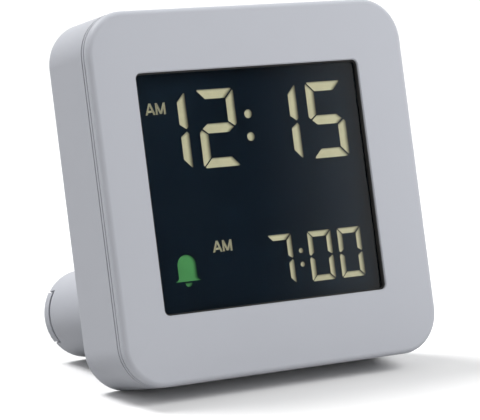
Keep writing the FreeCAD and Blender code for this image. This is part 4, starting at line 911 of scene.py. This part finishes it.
def signGrids(key):
    # clock face, bell, minus and plus about their middles
    pen, half = signs["stroke"], signs["height"] / 2
    if key == "time_key":
        upright, level = np.array(signs["hands"]) * half
        hands = [stroke(0, 0, 0, upright, signs["thin"] * pen), stroke(0, 0, level, 0, signs["thin"] * pen)]
        return hoop(0, 0, half, half) + hands
    if key == "alarm_key":
        low = bell["clapperTop"] - bell["clapperRadius"]
        scale, middle = 2 * half / (bell["top"] - low), (bell["top"] + low) / 2
        return [((x - bell["x"]) * scale, (z - middle) * scale) for x, z in bellGrids()]
    arm = signs["bar"] * half
    bars = [stroke(-arm, 0, arm, 0, pen)]
    if key == "plus_key":
        bars += [stroke(0, pen / 2, 0, arm, pen), stroke(0, -arm, 0, -pen / 2, pen)]
    return bars


def makeSigns():
    keys = ("time_key", "alarm_key", "minus_key", "plus_key")
    middles = {name: sum(extent(name)) / 2 for name in (*keys, "alarm_slider")}
    wall = extent("time_key")[1][1] - signs["keyProud"]
    front = wall + signs["proud"] - signs["thickness"]
    strokeMiddle = middles["alarm_slider"][0] + joint("alarm_switch_slide")["range_m"][1] / mm / 2
    spots = [(middles[key][0], middles[key][2] + signs["above"], signGrids(key)) for key in keys]
    for word, shift in signs["words"].items():
        spots.append((strokeMiddle + shift, middles["alarm_slider"][2], wordGrids(word)))
    # seen from behind, right is towards -x; turning the rows round keeps the faces outwards
    plates = [slab(middleX - x[::-1], middleZ + z[::-1], front, signs["thickness"])
              for middleX, middleZ, grids in spots for x, z in grids]
    piece = newPiece("printed_signs", *joined(plates), materials["labelInk"])


makeSigns()
print("signs made")

# Studio, in metres

paper = {
    "size": 3.0, "seen": (0.96, 0.96, 0.96), "bounce": (0.5, 0.5, 0.5), "roughness": 0.5,
    "cloudScale": 6.0, "paler": 1.02,         # its palest clouds, as a multiple of its colour
}
cameraView = {
    "azimuth": 31.67, "elevation": 9.42,      # degrees to the left and above
    "focalPixels": 2445.6, "imageWidth": 480, "sensor": 36.0,
    "distance": 0.49696,
    "right": 0.00584, "down": -0.0048,        # middle of the face from the middle of the picture
    "clipStart": 0.01,
}
suns = [
    {"name": "topLight", "from": (-0.35, 0.52, 1.0), "strength": 2.8, "angle": 22, "mirrored": True},
    {"name": "frontFill", "from": (0.0, -1.0, 0.15), "strength": 0.77, "angle": 50, "mirrored": False},
    {"name": "leftFill", "from": (-1.0, -0.2, 0.7), "strength": 0.26, "angle": 50, "mirrored": True},
    {"name": "backFill", "from": (0.3, 1.0, 0.2), "strength": 0.6, "angle": 60, "mirrored": True},
]
card = {"name": "rightCard", "place": (0.3, -0.3, 0.35), "aim": (0, 0, 0.04), "size": 0.3, "power": 1.68}
room = {
    "light": 0.25,                            # level at which it lights the object
    "pale": 0.6,                              # what reflections show of it
    "darkFrom": -0.6, "darkTo": -0.2,         # dark end in front of the clock, by how far a ray goes back
    "brightFrom": 0.52, "brightTo": 0.59,     # where it brightens, by how far a ray goes to the right
    "dim": 0.04, "bright": 1.0,
}


def makeFloor():
    # paper floor, pale to the camera and greyer to what stands on it
    half = paper["size"] / 2
    mesh = bpy.data.meshes.new("floor")
    corners = [(-half, -half, 0), (half, -half, 0), (half, half, 0), (-half, half, 0)]
    mesh.from_pydata(corners, [], [(0, 1, 2, 3)])
    material, w, shader, where = newMaterial("floorPaper")
    palest = [value * paper["paler"] for value in paper["seen"]]
    cloud = w.noise(where, paper["cloudScale"], detail=2.0)
    tone = w.mix(cloud, color(paper["seen"]), color(palest))
    seen = w.node("LightPath").outputs["Is Camera Ray"]
    w.link(w.mix(seen, color(paper["bounce"]), tone), shader.inputs["Base Color"])
    shader.inputs["Roughness"].default_value = paper["roughness"]
    shader.inputs["Specular IOR Level"].default_value = 0.0  # no dark room mirrored far behind the clock
    mesh.materials.append(material)
    floor = bpy.data.objects.new("floor", mesh)
    bpy.context.scene.collection.objects.link(floor)


def hangLight(light, spot, direction, mirrored):
    # mirrored: whether reflections show it
    holder = bpy.data.objects.new(light.name, light)
    holder.location = spot
    holder.rotation_euler = direction.to_track_quat("-Z", "Y").to_euler()
    holder.visible_glossy = mirrored
    bpy.context.scene.collection.objects.link(holder)


def makeLights():
    for sun in suns:
        light = bpy.data.lights.new(sun["name"], "SUN")
        light.energy = sun["strength"]
        light.angle = math.radians(sun["angle"])
        hangLight(light, Vector(sun["from"]), -Vector(sun["from"]), sun["mirrored"])
    light = bpy.data.lights.new(card["name"], "AREA")
    light.shape = "DISK"
    light.size = card["size"]
    light.energy = card["power"]
    hangLight(light, Vector(card["place"]), Vector(card["aim"]) - Vector(card["place"]), False)


def makeWorld():
    # white where it is seen, straight or through glass, and softer where it only lights the object;
    # reflections show a pale room with a dark end in front of the clock, which brightens to the right
    world = bpy.data.worlds.new("studio")
    world.use_nodes = True
    bpy.context.scene.world = world
    w = Wires(world.node_tree)
    back = world.node_tree.nodes["Background"]
    path = w.node("LightPath")
    bounces = w.math("ADD", path.outputs["Diffuse Depth"], path.outputs["Glossy Depth"])
    clear = w.math("LESS_THAN", bounces, 0.5)
    through = w.math("MULTIPLY", path.outputs["Is Transmission Ray"], clear)
    seen = w.math("MAXIMUM", path.outputs["Is Camera Ray"], through)
    direction = w.node("SeparateXYZ")
    w.link(w.node("TexCoord").outputs["Generated"], direction.inputs[0])
    behind = w.span(direction.outputs["Y"], room["darkFrom"], room["darkTo"], 0.0, room["pale"])
    right = w.span(direction.outputs["X"], room["brightFrom"], room["brightTo"], room["dim"], room["bright"])
    mirrored = w.math("MAXIMUM", behind, right)
    level = w.math("MULTIPLY_ADD", path.outputs["Is Glossy Ray"], w.math("SUBTRACT", mirrored, room["light"]),
                   room["light"])
    back.inputs["Color"].default_value = (1.0, 1.0, 1.0, 1.0)
    w.link(w.math("MAXIMUM", level, seen), back.inputs["Strength"])


def makeCamera():
    view = cameraView
    azimuth, elevation = math.radians(view["azimuth"]), math.radians(view["elevation"])
    forward = Vector((math.sin(azimuth) * math.cos(elevation), math.cos(azimuth) * math.cos(elevation),
                      -math.sin(elevation)))
    right = Vector((math.cos(azimuth), -math.sin(azimuth), 0))
    down = forward.cross(right)
    target = Vector(place([0, 0, 0]))
    camera = bpy.data.cameras.new("camera")
    camera.sensor_width = view["sensor"]
    camera.lens = view["focalPixels"] / view["imageWidth"] * view["sensor"]
    camera.clip_start = view["clipStart"]
    holder = bpy.data.objects.new("camera", camera)
    turn = Matrix((right, -down, -forward)).transposed()
    spot = target - right * view["right"] - down * view["down"] - forward * view["distance"]
    holder.matrix_world = Matrix.Translation(spot) @ turn.to_4x4()
    bpy.context.scene.collection.objects.link(holder)
    bpy.context.scene.camera = holder


makeFloor()
makeLights()
makeWorld()
makeCamera()
bpy.context.scene.view_settings.view_transform = "Standard"
smoothNodes()
print("studio made")
